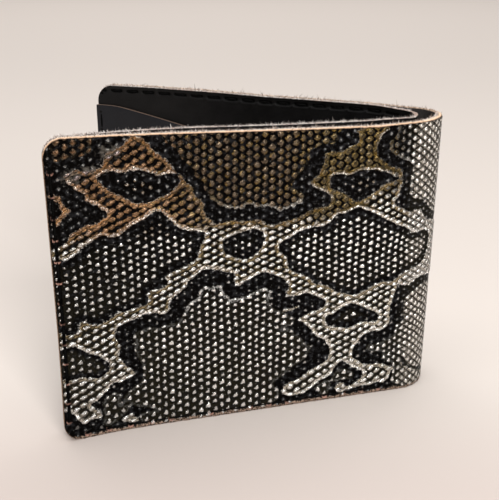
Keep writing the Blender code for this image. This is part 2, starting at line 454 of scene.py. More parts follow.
LEFT_BLOTCH = [
    (-2, 56.4), (1, 56.4), (4.3, 56.4), (5.7, 57.1), (7, 58), (8.2, 59), (9.3, 59.8), (10.7, 60.7),
    (12, 61.5), (13.4, 62.3), (14.6, 62.4), (15.7, 61.9), (17.3, 61.7), (18.7, 62), (19.7, 62.7),
    (20.7, 63.4), (21.7, 64.3), (22.7, 65), (24.3, 65.7), (25.7, 66.3), (26.9, 67.1), (28.2, 68.2),
    (30, 68.3), (31.2, 67.4), (32.3, 66.2), (33.3, 65.3), (34, 64.3), (35, 63.3), (36.3, 62.5), (38, 62),
    (40, 61.7), (41.7, 61.3), (42.8, 60.6), (42.5, 59), (41.6, 57.5), (41, 55.7), (40.7, 54.3),
    (39.7, 52.7), (38.3, 51.8), (35.3, 50.7), (33.7, 50.2), (31.7, 49.5), (30.9, 48.4), (31.6, 46.9),
    (30.9, 45.7), (29.4, 45), (27.3, 45), (25.9, 44.3), (25.8, 42.8), (26, 41.6), (25, 40.6), (22.5, 40),
    (19.5, 39.2), (17, 39), (15.6, 37.9), (13.6, 36.9), (11.6, 36), (9.6, 36.3), (7.6, 37.4), (6.5, 37.3),
    (5.9, 35.7), (5.3, 34.1), (3.6, 33.8), (2, 34.1), (0.5, 35), (-2, 35.2),
]
MIDDLE_BLOTCH = [
    (48.1, 57), (48.3, 58.2), (50, 59), (51.3, 59.5), (53, 60), (54.7, 60.3), (56, 60.8), (57.4, 60.9),
    (58.6, 60.3), (59.6, 59.8), (60.4, 58.6), (60.4, 57), (59.7, 55.6), (59.2, 54.6), (58.3, 53.6),
    (57.2, 52.7), (56, 52), (54, 51.9), (52.4, 52.3), (50.6, 53.1), (49, 53.9), (48.3, 55.2),
]
RIGHT_BLOTCH = [
    (65.6, 55.9), (67, 56.8), (68.4, 57.2), (70, 58.3), (71.3, 59.1), (73, 59.6), (75, 59.8), (77.5, 60),
    (79.6, 60.5), (80.9, 61.3), (81.6, 62.4), (82.6, 63.3), (85, 63.7), (86.7, 64.2), (88.3, 64.9),
    (89.5, 65.2), (91, 64.4), (93, 63.6), (94.5, 62.9), (95.8, 62), (97.3, 61), (99.3, 59.8), (100.9, 59),
    (102.4, 58.1), (104.7, 57.2), (106.2, 56.3), (107, 55), (109, 55.1), (111.5, 55.4), (113.4, 54.6),
    (114.5, 53), (114.4, 50), (113.9, 48), (112.8, 45.9), (111.3, 44.4), (110, 43.7), (108.3, 43.2),
    (106.7, 42.5), (105, 41.8), (103.4, 40.6), (101.9, 39.5), (100.4, 39.4), (98.6, 39.8), (96.7, 39.2),
    (95, 38.5), (93, 37.6), (91.3, 36.8), (89.5, 36.2), (87.5, 36.7), (85.5, 37.4), (83.3, 38.2),
    (81.7, 39.4), (80, 40.5), (78.2, 41.1), (76.6, 41.5), (75.4, 42.5), (74.3, 44), (72.5, 45),
    (70.5, 45.7), (69, 46.7), (68, 47.9), (67.6, 49.5), (67.3, 51.1), (66.2, 52.3), (65, 53.6),
    (64.8, 54.9),
]
RIGHT_LENS = [
    (80.1, 74), (80.4, 75.4), (81.6, 75.9), (84, 76), (85.4, 75.5), (86.8, 75.7), (88.3, 76.4),
    (90.3, 76.8), (93.7, 76.7), (95.5, 76.3), (97.2, 75.7), (98.6, 75.1), (99.8, 74.2), (101.6, 73.4),
    (99.7, 72.5), (98, 72.2), (96.6, 71.6), (95.5, 70.6), (94.2, 69.7), (92.7, 68.9), (91.3, 68.1),
    (89.7, 67.3), (88.3, 67.3), (87.1, 68.1), (86, 69.1), (84.8, 69.9), (83, 70.8), (81.4, 71.3),
    (80.2, 72.3),
]
LOWER_LENS = [
    (80.2, 29.4), (80.8, 30.3), (82.4, 30.4), (84, 31.5), (85.7, 32.5), (87.3, 33.2), (88.6, 33.3),
    (90.3, 32.7), (92.3, 31.7), (93.8, 30.8), (95.5, 29.9), (97, 29.1), (97.9, 27.8), (97.5, 26.4),
    (96.2, 26), (94, 26.5), (92.2, 26.6), (90.6, 26), (89, 25.5), (87, 25.2), (85, 25.6), (83, 26),
    (81.5, 26.4), (80.5, 27.6),
]
BEND_BAND = [
    (98.4, 92), (98, 89), (96.4, 88), (95.4, 86.8), (94.9, 85.5), (94.4, 84), (94.3, 82.5), (94.8, 80.9),
    (95.8, 79.9), (97.2, 78.9), (98.3, 78), (99.6, 77.2), (101.2, 76.8), (102.4, 76.2), (102.9, 75),
    (103.1, 73.4), (103.2, 71.5), (102.7, 70), (102.2, 68.6), (102, 67.2), (101.1, 66.2), (101.2, 65.1),
    (102.2, 64.3), (103.5, 63.7), (104.5, 62.9), (105.6, 62.3), (108.3, 62.5), (109.8, 62.5),
    (110.5, 61.3), (111.3, 59.8), (112.6, 58.6), (115, 57.9), (118, 57.2), (124, 56.4), (124, 92),
]
LEFT_SPEAR = [
    (-2, 29.6), (0, 29.3), (2, 29.7), (3.8, 30), (5, 29.6), (6, 28.7), (7.2, 27.8), (8.5, 27), (10, 26.5),
    (11.2, 25.6), (12.2, 24.6), (13.2, 23.9), (13.8, 22.8), (13.4, 21.2), (12.4, 20.3), (11.2, 19.2),
    (10, 19.1), (8, 19.6), (6, 19.9), (4, 19.9), (2.5, 19.8), (1.2, 20.3), (-2, 20.5),
]
BOTTOM_MIDDLE = [
    (-2, -2), (-2, 9.5), (1, 9.6), (2.2, 9), (3, 8.2), (3.8, 7), (4.4, 5.9), (5.2, 5), (6.3, 5),
    (7.7, 5.8), (9.7, 5.8), (11, 6.3), (10.7, 7.3), (9.7, 8.7), (8.7, 9.7), (7.9, 10.6), (8.4, 11.3),
    (9.5, 11.4), (10.7, 12.5), (11.7, 13.6), (13, 14.7), (13.8, 15.8), (14.8, 16.6), (16.6, 16.6),
    (18.3, 17.3), (20, 17.8), (21, 18.6), (20.7, 19.8), (19.7, 21), (18.5, 22), (17.8, 23.3), (16.8, 24.7),
    (16.6, 25.9), (17.3, 27.2), (17.4, 28.4), (16.8, 29.6), (16.2, 30.6), (16, 32), (16.3, 33.3),
    (17, 34.5), (18.3, 35.2), (20, 35.7), (21.7, 36.2), (23.3, 36.8), (24.7, 37.5), (26.3, 37.7),
    (27.8, 37.4), (29.3, 37), (31, 37), (31.8, 38.2), (32, 39.6), (32.6, 41), (33.6, 42), (35, 42.9),
    (36.3, 44), (37.2, 45.2), (38, 46.5), (39.5, 47.6), (40.7, 48.8), (41.8, 49.5), (43.3, 49.8),
    (45, 49.3), (46.7, 49), (48.3, 48.3), (50, 47.8), (51.4, 47.1), (51.3, 45.6), (51.5, 44.3),
    (52.4, 43.3), (53.5, 43.5), (54.2, 44.4), (55.6, 45), (57, 45.7), (58.6, 46.5), (60.3, 46.8),
    (62, 46.5), (63.5, 45.8), (65, 44.9), (66.5, 44), (67.7, 42.7), (68.1, 41), (67.3, 39.5), (67.3, 38.3),
    (68.7, 38), (71, 38.2), (73.3, 38.6), (75, 38.1), (76.5, 37.4), (78.3, 36.3), (79.6, 35.6), (80, 34.5),
    (79.4, 33.5), (78, 32.5), (76, 32.3), (74, 31.7), (72.2, 30.8), (71.3, 30), (72.3, 29.2), (73.5, 28.5),
    (74.4, 27.2), (75.6, 26), (76.4, 24.6), (77.4, 23.4), (78.8, 22.5), (80, 21.7), (81, 20.3),
    (81.7, 18.8), (81.8, 17.3), (81.5, 15.6), (80.4, 14.3), (78.3, 13.2), (76.7, 12.5), (75.2, 11.8),
    (74, 10.6), (72.7, 9.8), (71, 9.2), (69.5, 8.8), (68.1, 8.1), (67, 7), (66.2, 5.8), (66.8, 4.6),
    (68.3, 3.7), (70.3, 3.4), (72.3, 3.6), (74.3, 4), (75.5, 4.9), (77.2, 5.9), (78.2, 7.2), (80, 7.9),
    (81.7, 8.6), (82.8, 9.5), (83.6, 10.9), (84.6, 12.5), (86, 13.4), (87.7, 12.7), (88.8, 11.6),
    (90.2, 10.6), (92, 9.6), (93.2, 8.8), (93.6, 7.4), (92.4, 6.1), (91, 5.1), (89.3, 4.3), (87.7, 4.4),
    (87.2, 5.4), (86.2, 5.9), (85.2, 5.3), (83.9, 4.2), (84.5, 3.2), (86.3, 1.8), (88, 2.6), (91, 3.1),
    (93.5, 3.4), (96, 3.2), (98.5, 3.8), (100.5, 3.4), (102, 1.5), (102, -2),
]
LOWER_BAND = [
    (104, 38), (105.3, 37.5), (107.3, 37.4), (108.7, 38.3), (110, 39.2), (112, 39.7), (115, 39.4),
    (118, 38.6), (124, 37.2), (124, -2), (100, -2), (101.5, 3.6), (102.7, 4.7), (103.1, 5.9), (103.5, 7.2),
    (104.4, 8.1), (103.9, 8.9), (102.3, 9.5), (101, 10.2), (99, 10.8), (96.7, 11), (94.7, 11.2),
    (93, 11.8), (92.2, 12.7), (91, 13.5), (89.9, 14.5), (89.7, 16.3), (90.2, 18.2), (91.2, 19.2),
    (92, 20.2), (92.6, 21.3), (94, 22.2), (96.7, 22.7), (98.7, 22.7), (100.3, 23.3), (101.4, 24.4),
    (102, 26), (101.7, 27.5), (101.8, 29.3), (101.8, 31.3), (102.4, 33), (102.8, 34.8), (103.4, 36.3),
]

# %% Light islands, and dark fields whose scales keep their tips
LIGHT_ISLANDS = [
    [(0.5, 75), (2.5, 75), (3.8, 74.2), (4.5, 72.3), (5.7, 70.8), (5.8, 69.6), (4, 68), (3, 66.8),
     (2.3, 65.8), (0.8, 66.6), (2, 68), (3.6, 69.6), (3.4, 71.2), (2.8, 72.8), (1.2, 73.8)],
    [(16.3, 4), (17.5, 4.9), (19.3, 5.4), (20.3, 4.6), (21.2, 3.6), (21.7, 2.6), (20, 2.4), (18.3, 2.8),
     (16.8, 3.2)],
    [(66.2, 33), (68.5, 33.2), (71.4, 34.3), (71.2, 34.9), (69, 34.3), (66.4, 33.9)],
]
OPEN_FIELDS = [
    [(2.5, 88.5), (4, 90), (7, 91), (12, 91), (12.5, 88.5), (11.8, 86), (9, 85.2), (5, 84.6), (3, 84.4),
     (2.6, 86.3)],
    [(32.7, 88.4), (36, 92), (81, 92), (81.2, 88.5), (82, 86.8), (80, 85.6), (77, 85.7), (75.3, 84.7),
     (73.2, 84), (73.4, 82.5), (73, 80.4), (72.2, 79), (70.7, 77.7), (70.2, 76.2), (69, 75.2), (68.2, 74),
     (68.7, 72.4), (70, 71.3), (71.6, 70.2), (71.8, 69.2), (70.5, 68.2), (68.5, 67.2), (66.5, 66.5),
     (65.2, 66.2), (63.8, 66.9), (61.7, 67.8), (58.5, 67.9), (56.8, 68.7), (55.2, 69), (54.2, 68.1),
     (52.6, 67.7), (50.5, 68.1), (48.7, 68.6), (47.2, 69.2), (46.2, 70.3), (44.6, 71.9), (43.4, 73.7),
     (43.2, 76), (41.9, 77), (40.6, 77.9), (40.1, 79.7), (39.1, 81.2), (37.8, 82.4), (36.4, 84),
     (35.8, 85.7), (34.3, 87)],
    [(21.4, 30.4), (22.2, 31.7), (24.7, 32.4), (26.7, 32.6), (28.7, 32.2), (30.7, 32.9), (33.7, 33.2),
     (35, 33.9), (36, 35.7), (37, 37.2), (37.8, 39), (39, 39.9), (40.4, 40.6), (41.2, 42), (41.6, 43.5),
     (42.7, 43.9), (44.3, 43.4), (45.7, 43.9), (47, 43.6), (47.6, 42.3), (48.3, 41), (49.3, 39.6),
     (50.5, 38.7), (52, 38.9), (54, 39.3), (55.7, 39.7), (57, 40.5), (59.3, 41.3), (61, 41.2), (62.3, 40),
     (61.6, 38), (61.9, 36.3), (62.8, 34.9), (64.3, 33.7), (66.6, 32.9), (67.8, 31.6), (69.6, 30.4),
     (69.4, 28.9), (67, 28), (66, 26.8), (68, 27), (69.2, 26.3), (69.9, 25), (71.4, 24), (72.7, 22.6),
     (73.3, 21), (75.7, 19.8), (74.5, 18.2), (73.8, 16.4), (71.5, 14.9), (70, 14.2), (68, 12.4),
     (66.5, 11.4), (65, 10.5), (63.6, 9.4), (63.4, 7.8), (65.2, 6), (64.8, 3), (62, 1), (62, -2), (24, -2),
     (23, 1.5), (22.2, 3), (22.6, 4.6), (25, 4.7), (27.5, 4.9), (26, 6.2), (24.3, 7.1), (22.3, 7.6),
     (20.5, 8.4), (19.3, 9.5), (17.8, 9.9), (17.9, 11.2), (19.2, 12.6), (21, 14.1), (22.8, 15.3),
     (23.6, 17), (24, 19), (23.7, 21.2), (22.8, 23.5), (21.9, 25.4), (21.7, 27.5), (22.3, 29)],
    [(12, 9), (11.6, 10.8), (14.5, 12.9), (16.3, 12), (16, 9), (18.6, 8.2), (18, 6.6), (16, 5), (13, 3),
     (11.4, 4), (12, 6.5), (11.5, 8)],
    [(83.6, 8.6), (86, 10.2), (89.8, 8.8), (89.6, 6.9), (87, 7.1), (84, 6.6)],
    [(77.8, 5), (81, 6.9), (82.4, 6), (81.6, 2.4), (79.8, 2.4), (78.8, 4)],
    [(100.5, 13.8), (103.5, 12.9), (106.4, 11.2), (107, 8.9), (109, 7.6), (112.7, 5.9), (116, 4), (124, 1),
     (124, -2), (112, -2), (108.3, 1.6), (106.3, 2.4), (104.1, 3.8), (104.6, 6.2), (104.5, 8.6),
     (103.6, 10.6), (101.3, 12)],
    [(101.5, 92), (101.3, 89), (100.4, 87.2), (99.4, 85.9), (98.8, 84.4), (98.8, 83), (99.6, 81.4),
     (101.1, 80.3), (103, 79.3), (105.2, 78.4), (106.4, 77), (106.6, 75.4), (106.2, 73.6), (106, 71.9),
     (105.9, 69.8), (106.2, 67.9), (107.5, 66.5), (109.8, 66.2), (111.3, 65.3), (112.6, 64), (113.9, 62.4),
     (115.3, 61.3), (118, 60.3), (124, 59), (124, 92)],
    [(107.2, 33.2), (108.3, 34.2), (110, 34.9), (111.5, 35.8), (113, 36.4), (115, 36.3), (118, 35.8),
     (124, 34.6), (124, 2.8), (118, 5.2), (115, 6.7), (112.5, 7.6), (110.5, 8.4), (109.3, 9.4),
     (108.7, 10.8), (108, 12.1), (106.7, 13), (105, 13.8), (103.3, 14.3), (101, 14.9), (99.3, 15.3),
     (97.3, 15.4), (95.5, 16), (94.8, 17), (95.4, 17.8), (96.7, 17.5), (98.7, 17.7), (101, 18.7),
     (102.4, 19.4), (103.9, 20.2), (104.3, 21.7), (104.7, 23.4), (106, 24.2), (107.1, 25.6), (106.9, 27.3),
     (106.7, 29.3), (106.8, 32)],
]
# A blotch is bare near its outline: its scales keep their tips from this far inside it.
BARE_MARGINS = [
    (LEFT_BLOTCH, 2.1), (RIGHT_BLOTCH, 1.7), (MIDDLE_BLOTCH, 2.7), (UPPER_LENS, 2.2), (RIGHT_LENS, 2.3),
    (LOWER_LENS, 2.2), (LEFT_SPEAR, 1.4),
]
DARK_SHAPES = [
    TOP_CORNER, TOP_MIDDLE, UPPER_LENS, LEFT_BLOTCH, MIDDLE_BLOTCH, RIGHT_BLOTCH, RIGHT_LENS, LOWER_LENS,
    BEND_BAND, LEFT_SPEAR, BOTTOM_MIDDLE, LOWER_BAND,
]
print(len(DARK_SHAPES), "dark shapes with", sum(map(len, DARK_SHAPES)), "points")

# %% [markdown]
# How deep a place lies inside an outline is all that the shader needs: zero is the outline, so an edge
# made from it stays sharp between the mesh's points. The curve through the points is a Catmull-Rom one.

# %% Depth inside an outline
OUTLINE_STEPS = 3
FAR = 4.0  # depths past this don't matter


def curve_through(points):
    """A closed Catmull-Rom curve: between b and c, with neighbours a and d, it is
    (2b + (c - a) t + (2a - 5b + 4c - d) t^2 + (3b - a - 3c + d) t^3) / 2."""
    b = np.array(points, float)
    a, c, d = np.roll(b, 1, 0), np.roll(b, -1, 0), np.roll(b, -2, 0)
    t = (np.arange(OUTLINE_STEPS) / OUTLINE_STEPS)[None, :, None]
    a, b, c, d = (p[:, None, :] for p in (a, b, c, d))
    curve = 2 * b + (c - a) * t + (2 * a - 5 * b + 4 * c - d) * t**2 + (3 * b - a - 3 * c + d) * t**3
    return curve.reshape(-1, 2) / 2


def depth_inside(u, v, outline):
    """Distance in mm to the outline, positive inside it, and not followed past FAR. To a segment from a to b
    it is |p - a - s (b - a)| with s = (p - a) . (b - a) / |b - a|^2 kept between 0 and 1. A place is inside
    where a line from it to the right crosses the outline an odd number of times."""
    curve = curve_through(outline)
    low, high = curve.min(0) - FAR, curve.max(0) + FAR
    near = (u > low[0]) & (u < high[0]) & (v > low[1]) & (v < high[1])
    p, q = u[near], v[near]
    square = np.full(p.shape, FAR * FAR)
    inside = np.zeros(p.shape, bool)
    for (a, b), (c, d) in zip(curve, np.roll(curve, -1, 0)):
        share = ((p - a) * (c - a) + (q - b) * (d - b)) / ((c - a) ** 2 + (d - b) ** 2)
        share = np.clip(share, 0, 1)
        square = np.minimum(square, (p - a - share * (c - a)) ** 2 + (q - b - share * (d - b)) ** 2)
        if b != d:
            inside ^= ((b > q) != (d > q)) & (p < a + (q - b) * (c - a) / (d - b))
    depth = np.full(u.shape, -FAR)
    depth[near] = np.where(inside, 1, -1) * np.sqrt(square)
    return depth


def marking(u, v):
    """Three maps of the leather, in mm. ground is positive in the light and negative in the dark: the
    greatest of the islands' depths and of minus the dark shapes' depth. opening is the depth inside the
    open fields. field is positive where dark scales keep their tips: the greatest of 3 (opening + 0.5) and
    of each blotch's depth less its margin."""
    dark = np.max([depth_inside(u, v, shape) for shape in DARK_SHAPES], 0)
    ground = np.max([-dark] + [depth_inside(u, v, shape) for shape in LIGHT_ISLANDS], 0)
    blotches = [depth_inside(u, v, shape) - margin for shape, margin in BARE_MARGINS]
    opening = np.max([depth_inside(u, v, shape) for shape in OPEN_FIELDS], 0)
    return ground, np.max(blotches + [(opening + 0.5) * 3], 0), opening


print("the marking is", np.round(marking(np.array([53.0, 40.0]), np.array([56.0, 70.0])), 1))

# %% [markdown]
# ## The scales
#
# Python scales stand in columns, and each column is shifted by half a scale against the next. So they
# are two plain lattices laid into each other, and the nearest scale's middle is the nearer of the two
# lattices' nearest points. The leather stretched unevenly, so the columns and rows are counted along
# slowly changing steps and wander a little.

# %% Scale lattice
SCALE = 2.2  # mm from one scale's middle to the next
COLUMN_PLACES = [0, 21.5, 40, 59.5, 76, 96.3, 103.2, 107.6, 122]
COLUMN_COUNTS = [-0.6, 9, 17.6, 26.6, 34, 43, 46.4, 48.9, 58]
ROW_PLACES = [0, 12, 35, 66, 90]
ROW_COUNTS = [0, 4.4, 14.4, 29.2, 39]
WANDER = 0.3  # mm
TABLE = 97  # random numbers along each side of a table of hills


def hills(x, y, size, seed):
    """Smooth random hills between -1 and 1, `size` across: random numbers at the corners of squares, with
    smooth shares of them inside."""
    table = np.random.default_rng(seed).uniform(-1, 1, (TABLE, TABLE))
    i, j = np.floor(x / size).astype(int), np.floor(y / size).astype(int)
    s, t = smooth(x / size - i), smooth(y / size - j)
    a, b, c, d = (table[(i + right) % TABLE, (j + up) % TABLE] for up in (0, 1) for right in (0, 1))
    return (a * (1 - s) + b * s) * (1 - t) + (c * (1 - s) + d * s) * t


def lattice(u, v):
    """The column and row numbers of a place, with fractions. The place wanders by hills of two sizes, and
    then straight lines are drawn between the counted places."""
    wander_u = WANDER * (hills(u, v, 5, 1) + 0.5 * hills(u, v, 2.6, 2))
    wander_v = WANDER * (hills(u, v, 5, 3) + 0.5 * hills(u, v, 2.6, 4))
    column = np.interp(u + wander_u, COLUMN_PLACES, COLUMN_COUNTS)
    row = np.interp(v + wander_v, ROW_PLACES, ROW_COUNTS)
    return column, row


def slanted(across, upward, lying, lean):
    """Coordinates in which a scale is round: (wide * across, tall * upward - lean * across), where wide is
    0.95 - 0.15 lying and tall is 1.02 + 0.28 lying. A scale of the dark fields stands upright, lying 0, and
    one of the light ground is wide and low, lying 1."""
    return across * (0.95 - lying * 0.15), upward * (1.02 + lying * 0.28) - across * lean


def from_scale_middle(column, row, lying, lean):
    """Slanted distance in mm to the nearest scale's middle: the lesser of those in the two lattices."""
    distances = []
    for shift in (0, 0.5):
        x, y = column / 2 + shift, row + shift
        across, upward = (x - np.round(x)) * 2 * SCALE, (y - np.round(y)) * SCALE
        distances.append(np.hypot(*slanted(across, upward, lying, lean)))
    return np.minimum(*distances)


print("scales across the front:", round(COLUMN_COUNTS[-1] - COLUMN_COUNTS[0]), "up it:", ROW_COUNTS[-1])

# %% [markdown]
# ## The cover
#
# The embossing is real relief: the ground is a step higher than the dark shapes, each scale is a low
# dome, and the stitches pull small pits into the leather. A bump in the material could not change the
# outline or catch the light from all sides, so the relief moves the mesh itself, on a grid of about a
# third of a millimetre. The cover is made in two pieces that meet in the middle of the bend, because
# each of them crosses one of the two joints.

# %% Relief of the embossing
GROUND_STEP = 0.16
STEP_WIDTH = 0.5
SCALE_DOME = 0.17
SCALE_RADIUS = 1.35
TIP_DOME = 0.16
TIP_RADIUS = 1.05
TIP_GROWTH = 1.2
RIM_HEIGHT = 0.07
RIM_WIDTH = 0.3
WRINKLES = 0.05
WRINKLE_SIZE = 1.1
GRAIN = 0.015
GRAIN_SIZE = 0.6
EDGE_ROUND = 0.35
EDGE_WIDTH = 0.7
STITCH_INSET = 1.6
END_PERIOD = 6.2
FIRST_HOLE = 6.6
PIT_DEPTH = 0.3
GROOVE_DEPTH = 0.3
PIT_RADIUS = 0.55
GROOVE_RADIUS = 0.5
REACH = 3.0  # distances to seams past this don't matter


def dome(distance, radius):
    """1 in the middle, 0 at the radius and outside, as 1 - (distance / radius)^2."""
    return np.clip(1 - (distance / radius) ** 2, 0, 1)


def on_ground(ground):
    """1 on the light ground and 0 in the dark shapes, with a short slope along the outline."""
    return smooth((ground + STEP_WIDTH / 2) / STEP_WIDTH)


def relief(u, v, ground, field, middle, edge, stitch, seam):
    """Height of the leather's outer face in mm, outwards: a step, a dome for each scale, a rim along the
    outlines, wrinkles in the dark and grain all over. The cut edge is rounded off as (1 - edge / width)^2,
    and pits and grooves of the seams are bells, exp(-(distance / radius)^2)."""
    light = on_ground(ground)
    tips = smooth(field / TIP_GROWTH) * (1 - light)
    height = GROUND_STEP * light + SCALE_DOME * light * dome(middle, SCALE_RADIUS)
    height += TIP_DOME * tips * dome(middle, TIP_RADIUS)
    height += RIM_HEIGHT * np.exp(-(((ground - RIM_WIDTH) / RIM_WIDTH) ** 2))
    folds = 1 - 2 * np.abs(hills(u, v * 1.3, WRINKLE_SIZE, 5))
    height += WRINKLES * folds * (1 - light)
    height += GRAIN * hills(u, v, GRAIN_SIZE, 6)
    height -= EDGE_ROUND * np.clip(1 - edge / EDGE_WIDTH, 0, 1) ** 2
    height -= PIT_DEPTH * np.exp(-((stitch / PIT_RADIUS) ** 2))
    height -= GROOVE_DEPTH * np.exp(-((seam / GROOVE_RADIUS) ** 2))
    return height


print("the relief is up to", round(GROUND_STEP + SCALE_DOME + RIM_HEIGHT, 2), "mm high")

# %% [markdown]
# The seams need their holes before the leather can be pulled in at them. The sheets are laid out flat
# next: a grid of points, its distance to the cut edge, and how the worn halves have sagged and curled.

# %% Where the cover's stitches go in
TOP_MARGIN = 5.0
BEND_MARGIN = 6.0  # the seams end as far from the bend as those of the solids


def seam_holes():
    """Places of the holes, as (u, v): a row up the outer end, and one along the bottom. Where two stitches
    meet, they share a hole."""
    upright = np.arange(FIRST_HOLE, HEIGHT - TOP_MARGIN, END_PERIOD)
    level = np.arange(FIRST_HOLE, HALF_LENGTH - BEND_MARGIN, END_PERIOD)
    return [
        np.stack([np.full(len(upright), STITCH_INSET), upright], -1),
        np.stack([level, np.full(len(level), STITCH_INSET)], -1),
    ]


def nearest_of(u, v, starts, ends):
    """Distance in mm to the nearest of some lines that run straight up or straight along, and not more than
    REACH: what is left of the way to (u, v) past the line's ends. A hole is a line of no length."""
    distance = np.full(u.shape, REACH)
    for (a, b), (c, d) in zip(starts, ends):
        beside = np.maximum(np.maximum(a - u, u - c), 0)
        above = np.maximum(np.maximum(b - v, v - d), 0)
        distance = np.minimum(distance, np.hypot(beside, above))
    return distance


HOLE_ROWS = seam_holes()
HOLES = np.concatenate(HOLE_ROWS)
SEAM_STARTS = np.concatenate([row[:-1] for row in HOLE_ROWS])
SEAM_ENDS = np.concatenate([row[1:] for row in HOLE_ROWS])
print(len(HOLES), "stitch holes in each half's cover")


# %% The flat leather's own grid
FINE_COLUMNS = 340
FINE_ROWS = 248
CORNER_COLUMNS = 14


def corner_lift(u):
    """How far a rounded corner cuts in at u from the end: r - sqrt(r^2 - (r - u)^2)."""
    inset = np.clip(CORNER_RADIUS - u, 0, CORNER_RADIUS)
    return CORNER_RADIUS - np.sqrt(np.clip(CORNER_RADIUS**2 - inset**2, 0, None))


def flat_grid(length, columns, rows, corner_columns, top=None):
    """u and v of a sheet's grid: columns are closer together in the rounded corners, and each column's points
    are spread evenly between its lowest and highest place. top is a function of u for a slanting upper edge,
    which has no rounded corner."""
    turn_angles = np.linspace(0, math.pi / 2, corner_columns + 1)
    u = np.concatenate([
        CORNER_RADIUS * (1 - np.cos(turn_angles)),
        np.linspace(CORNER_RADIUS, length, columns - corner_columns + 1)[1:],
    ])
    low = corner_lift(u)
    high = HEIGHT - low if top is None else top(u)
    share = np.linspace(0, 1, rows + 1)[None, :]
    v = low[:, None] * (1 - share) + high[:, None] * share
    return np.broadcast_to(u[:, None], v.shape), v


def edge_distance(u, v):
    """Distance in mm to the cut edge of a half: the least of end, bottom and top, round in the corners."""
    inset = np.minimum(np.minimum(u, v), HEIGHT - v)
    corner_u = CORNER_RADIUS - u
    corner_v = CORNER_RADIUS - np.minimum(v, HEIGHT - v)
    in_corner = (corner_u > 0) & (corner_v > 0)
    return np.where(in_corner, CORNER_RADIUS - np.hypot(corner_u, corner_v), inset)


# %% How the used leather has settled
DIP_PLACES = [0, 20, 40, 60, 80, 95, 108, 116, 122]
FRONT_DIPS = [0.3, 0.1, -0.45, -1.05, -1.6, -1.9, -1.4, -0.9, -0.9]
BACK_DIPS = [0.0, 0.2, 0.1, -0.4, -0.55, -0.7, -1.25, -1.1, -0.9]
CURL = 2.6  # mm that a half's lower outer corner stands away
CURL_LENGTH = 28
CURL_HEIGHT = 40


def on_half(side, u, v, depth):
    """The point in mm of a place on one half, u from its outer end, v from the bottom. Its upper edge dips
    towards the bend, as dip(u) * (v / height)^2, and the lower outer corner curls outwards, as
    curl * (1 - u / length)^2 * (1 - v / height of the curl)^2."""
    points = place(side * (OUTER_END - u), depth, v)
    points[..., 2] += np.interp(u, DIP_PLACES, FRONT_DIPS if side < 0 else BACK_DIPS) * (v / HEIGHT) ** 2
    curl = np.clip(1 - u / CURL_LENGTH, 0, 1) ** 2 * np.clip(1 - v / CURL_HEIGHT, 0, 1) ** 2
    points[..., 1] += side * CURL * curl
    return points


def lining_at(side, u, v):
    """Depth of the lining's outer face at a place on one half."""
    return liner_depth(side * (OUTER_END - u), v)


print("the upper edge dips by up to", -min(FRONT_DIPS), "mm in front and", -min(BACK_DIPS), "mm behind")

# %% [markdown]
# The back half's marking can't be seen in the picture. A real skin is alike on both sides of its
# middle line, so the back half has the front's marking mirrored at the bend, and pulled out of shape
# away from the bend, so that the two halves aren't copies.


# %% Make the cover
CUT_LAYERS = 3  # steps of the mesh across the cut edge
HOLE_SIZE = 1.0
HOLE_DROP = 0.3  # the thread pulls a hole's lower side out of shape
SHIFT_START = 6
SHIFT_GROWTH = 60
SHIFT_ALONG = 5
SHIFT_UP = 4


def back_shift(u, v):
    """Pulls the back half's marking out of shape, not at the bend, but more and more away from it: hills
    move it along by up to SHIFT_ALONG, and up by SHIFT_UP more or less."""
    away = smooth((OUTER_END - SHIFT_START - u) / SHIFT_GROWTH)
    raised = SHIFT_UP + SHIFT_UP * hills(u, v, 28, 8)
    return u + SHIFT_ALONG * away * hills(u, v, 34, 7), v + away * raised


def make_cover(name, side, materials):
    """One half of the cover with its half of the bend. Scales lie on the light ground, but stand upright at
    the right of the upper part and on the bend, between the same places as in the material. The maps tell
    the material where it is; `deep` is the way through the cut edge, 0 at the face and 1 inside."""
    u, v = flat_grid(OUTER_END, FINE_COLUMNS, FINE_ROWS, CORNER_COLUMNS)
    mark_u, mark_v = (u, v) if side < 0 else back_shift(u, v)
    ground, field, opening = marking(mark_u, mark_v)
    column, row = lattice(mark_u, mark_v)
    edge = np.minimum(edge_distance(u, v), FAR)
    stitch = nearest_of(u, v, HOLES, HOLES)
    seam = nearest_of(u, v, SEAM_STARTS, SEAM_ENDS)
    torn = np.minimum(HOLE_SIZE - stitch, nearest_of(u, v - HOLE_DROP, HOLES, HOLES) - 0.75 * HOLE_SIZE)
    upper_right = smooth((mark_u - 45) / 25) * smooth((mark_v - 58) / 6)
    upright = np.maximum(upper_right, smooth((mark_u - 103) / 5))
    lying = on_ground(ground) * (1 - upright)
    lean = lying * (0.34 - 0.18 * smooth((mark_u - 30) / 25)) + 0.08
    middle = from_scale_middle(column, row, lying, lean)
    height = relief(mark_u, mark_v, ground, field, middle, edge, stitch, seam)
    outer, inner = on_half(side, u, v, -height), on_half(side, u, v, COVER_THICKNESS)
    points, faces, kinds, source = closed_sheet(outer, inner, CUT_LAYERS)
    facing = np.gradient(ground, axis=1) / np.gradient(v, axis=1)
    maps = {
        "ground": ground, "field": field, "opening": opening, "facing": facing, "edge": edge, "seam": seam,
        "torn": torn,
    }
    attributes = {key: value.ravel()[source] for key, value in maps.items()}
    layer = (np.arange(len(points)) - u.size) // (2 * (FINE_COLUMNS + FINE_ROWS)) + 1
    attributes["deep"] = np.clip(layer / CUT_LAYERS, 0, 1)
    uvs = {"scales": sheet_uv(column, row, source), "leather": sheet_uv(u, v, source)}
    piece = make_piece(name, points, faces, kinds, materials, uvs, attributes)
    return piece


print("the cover's grid has", (FINE_COLUMNS + 1) * (FINE_ROWS + 1), "points on each half")
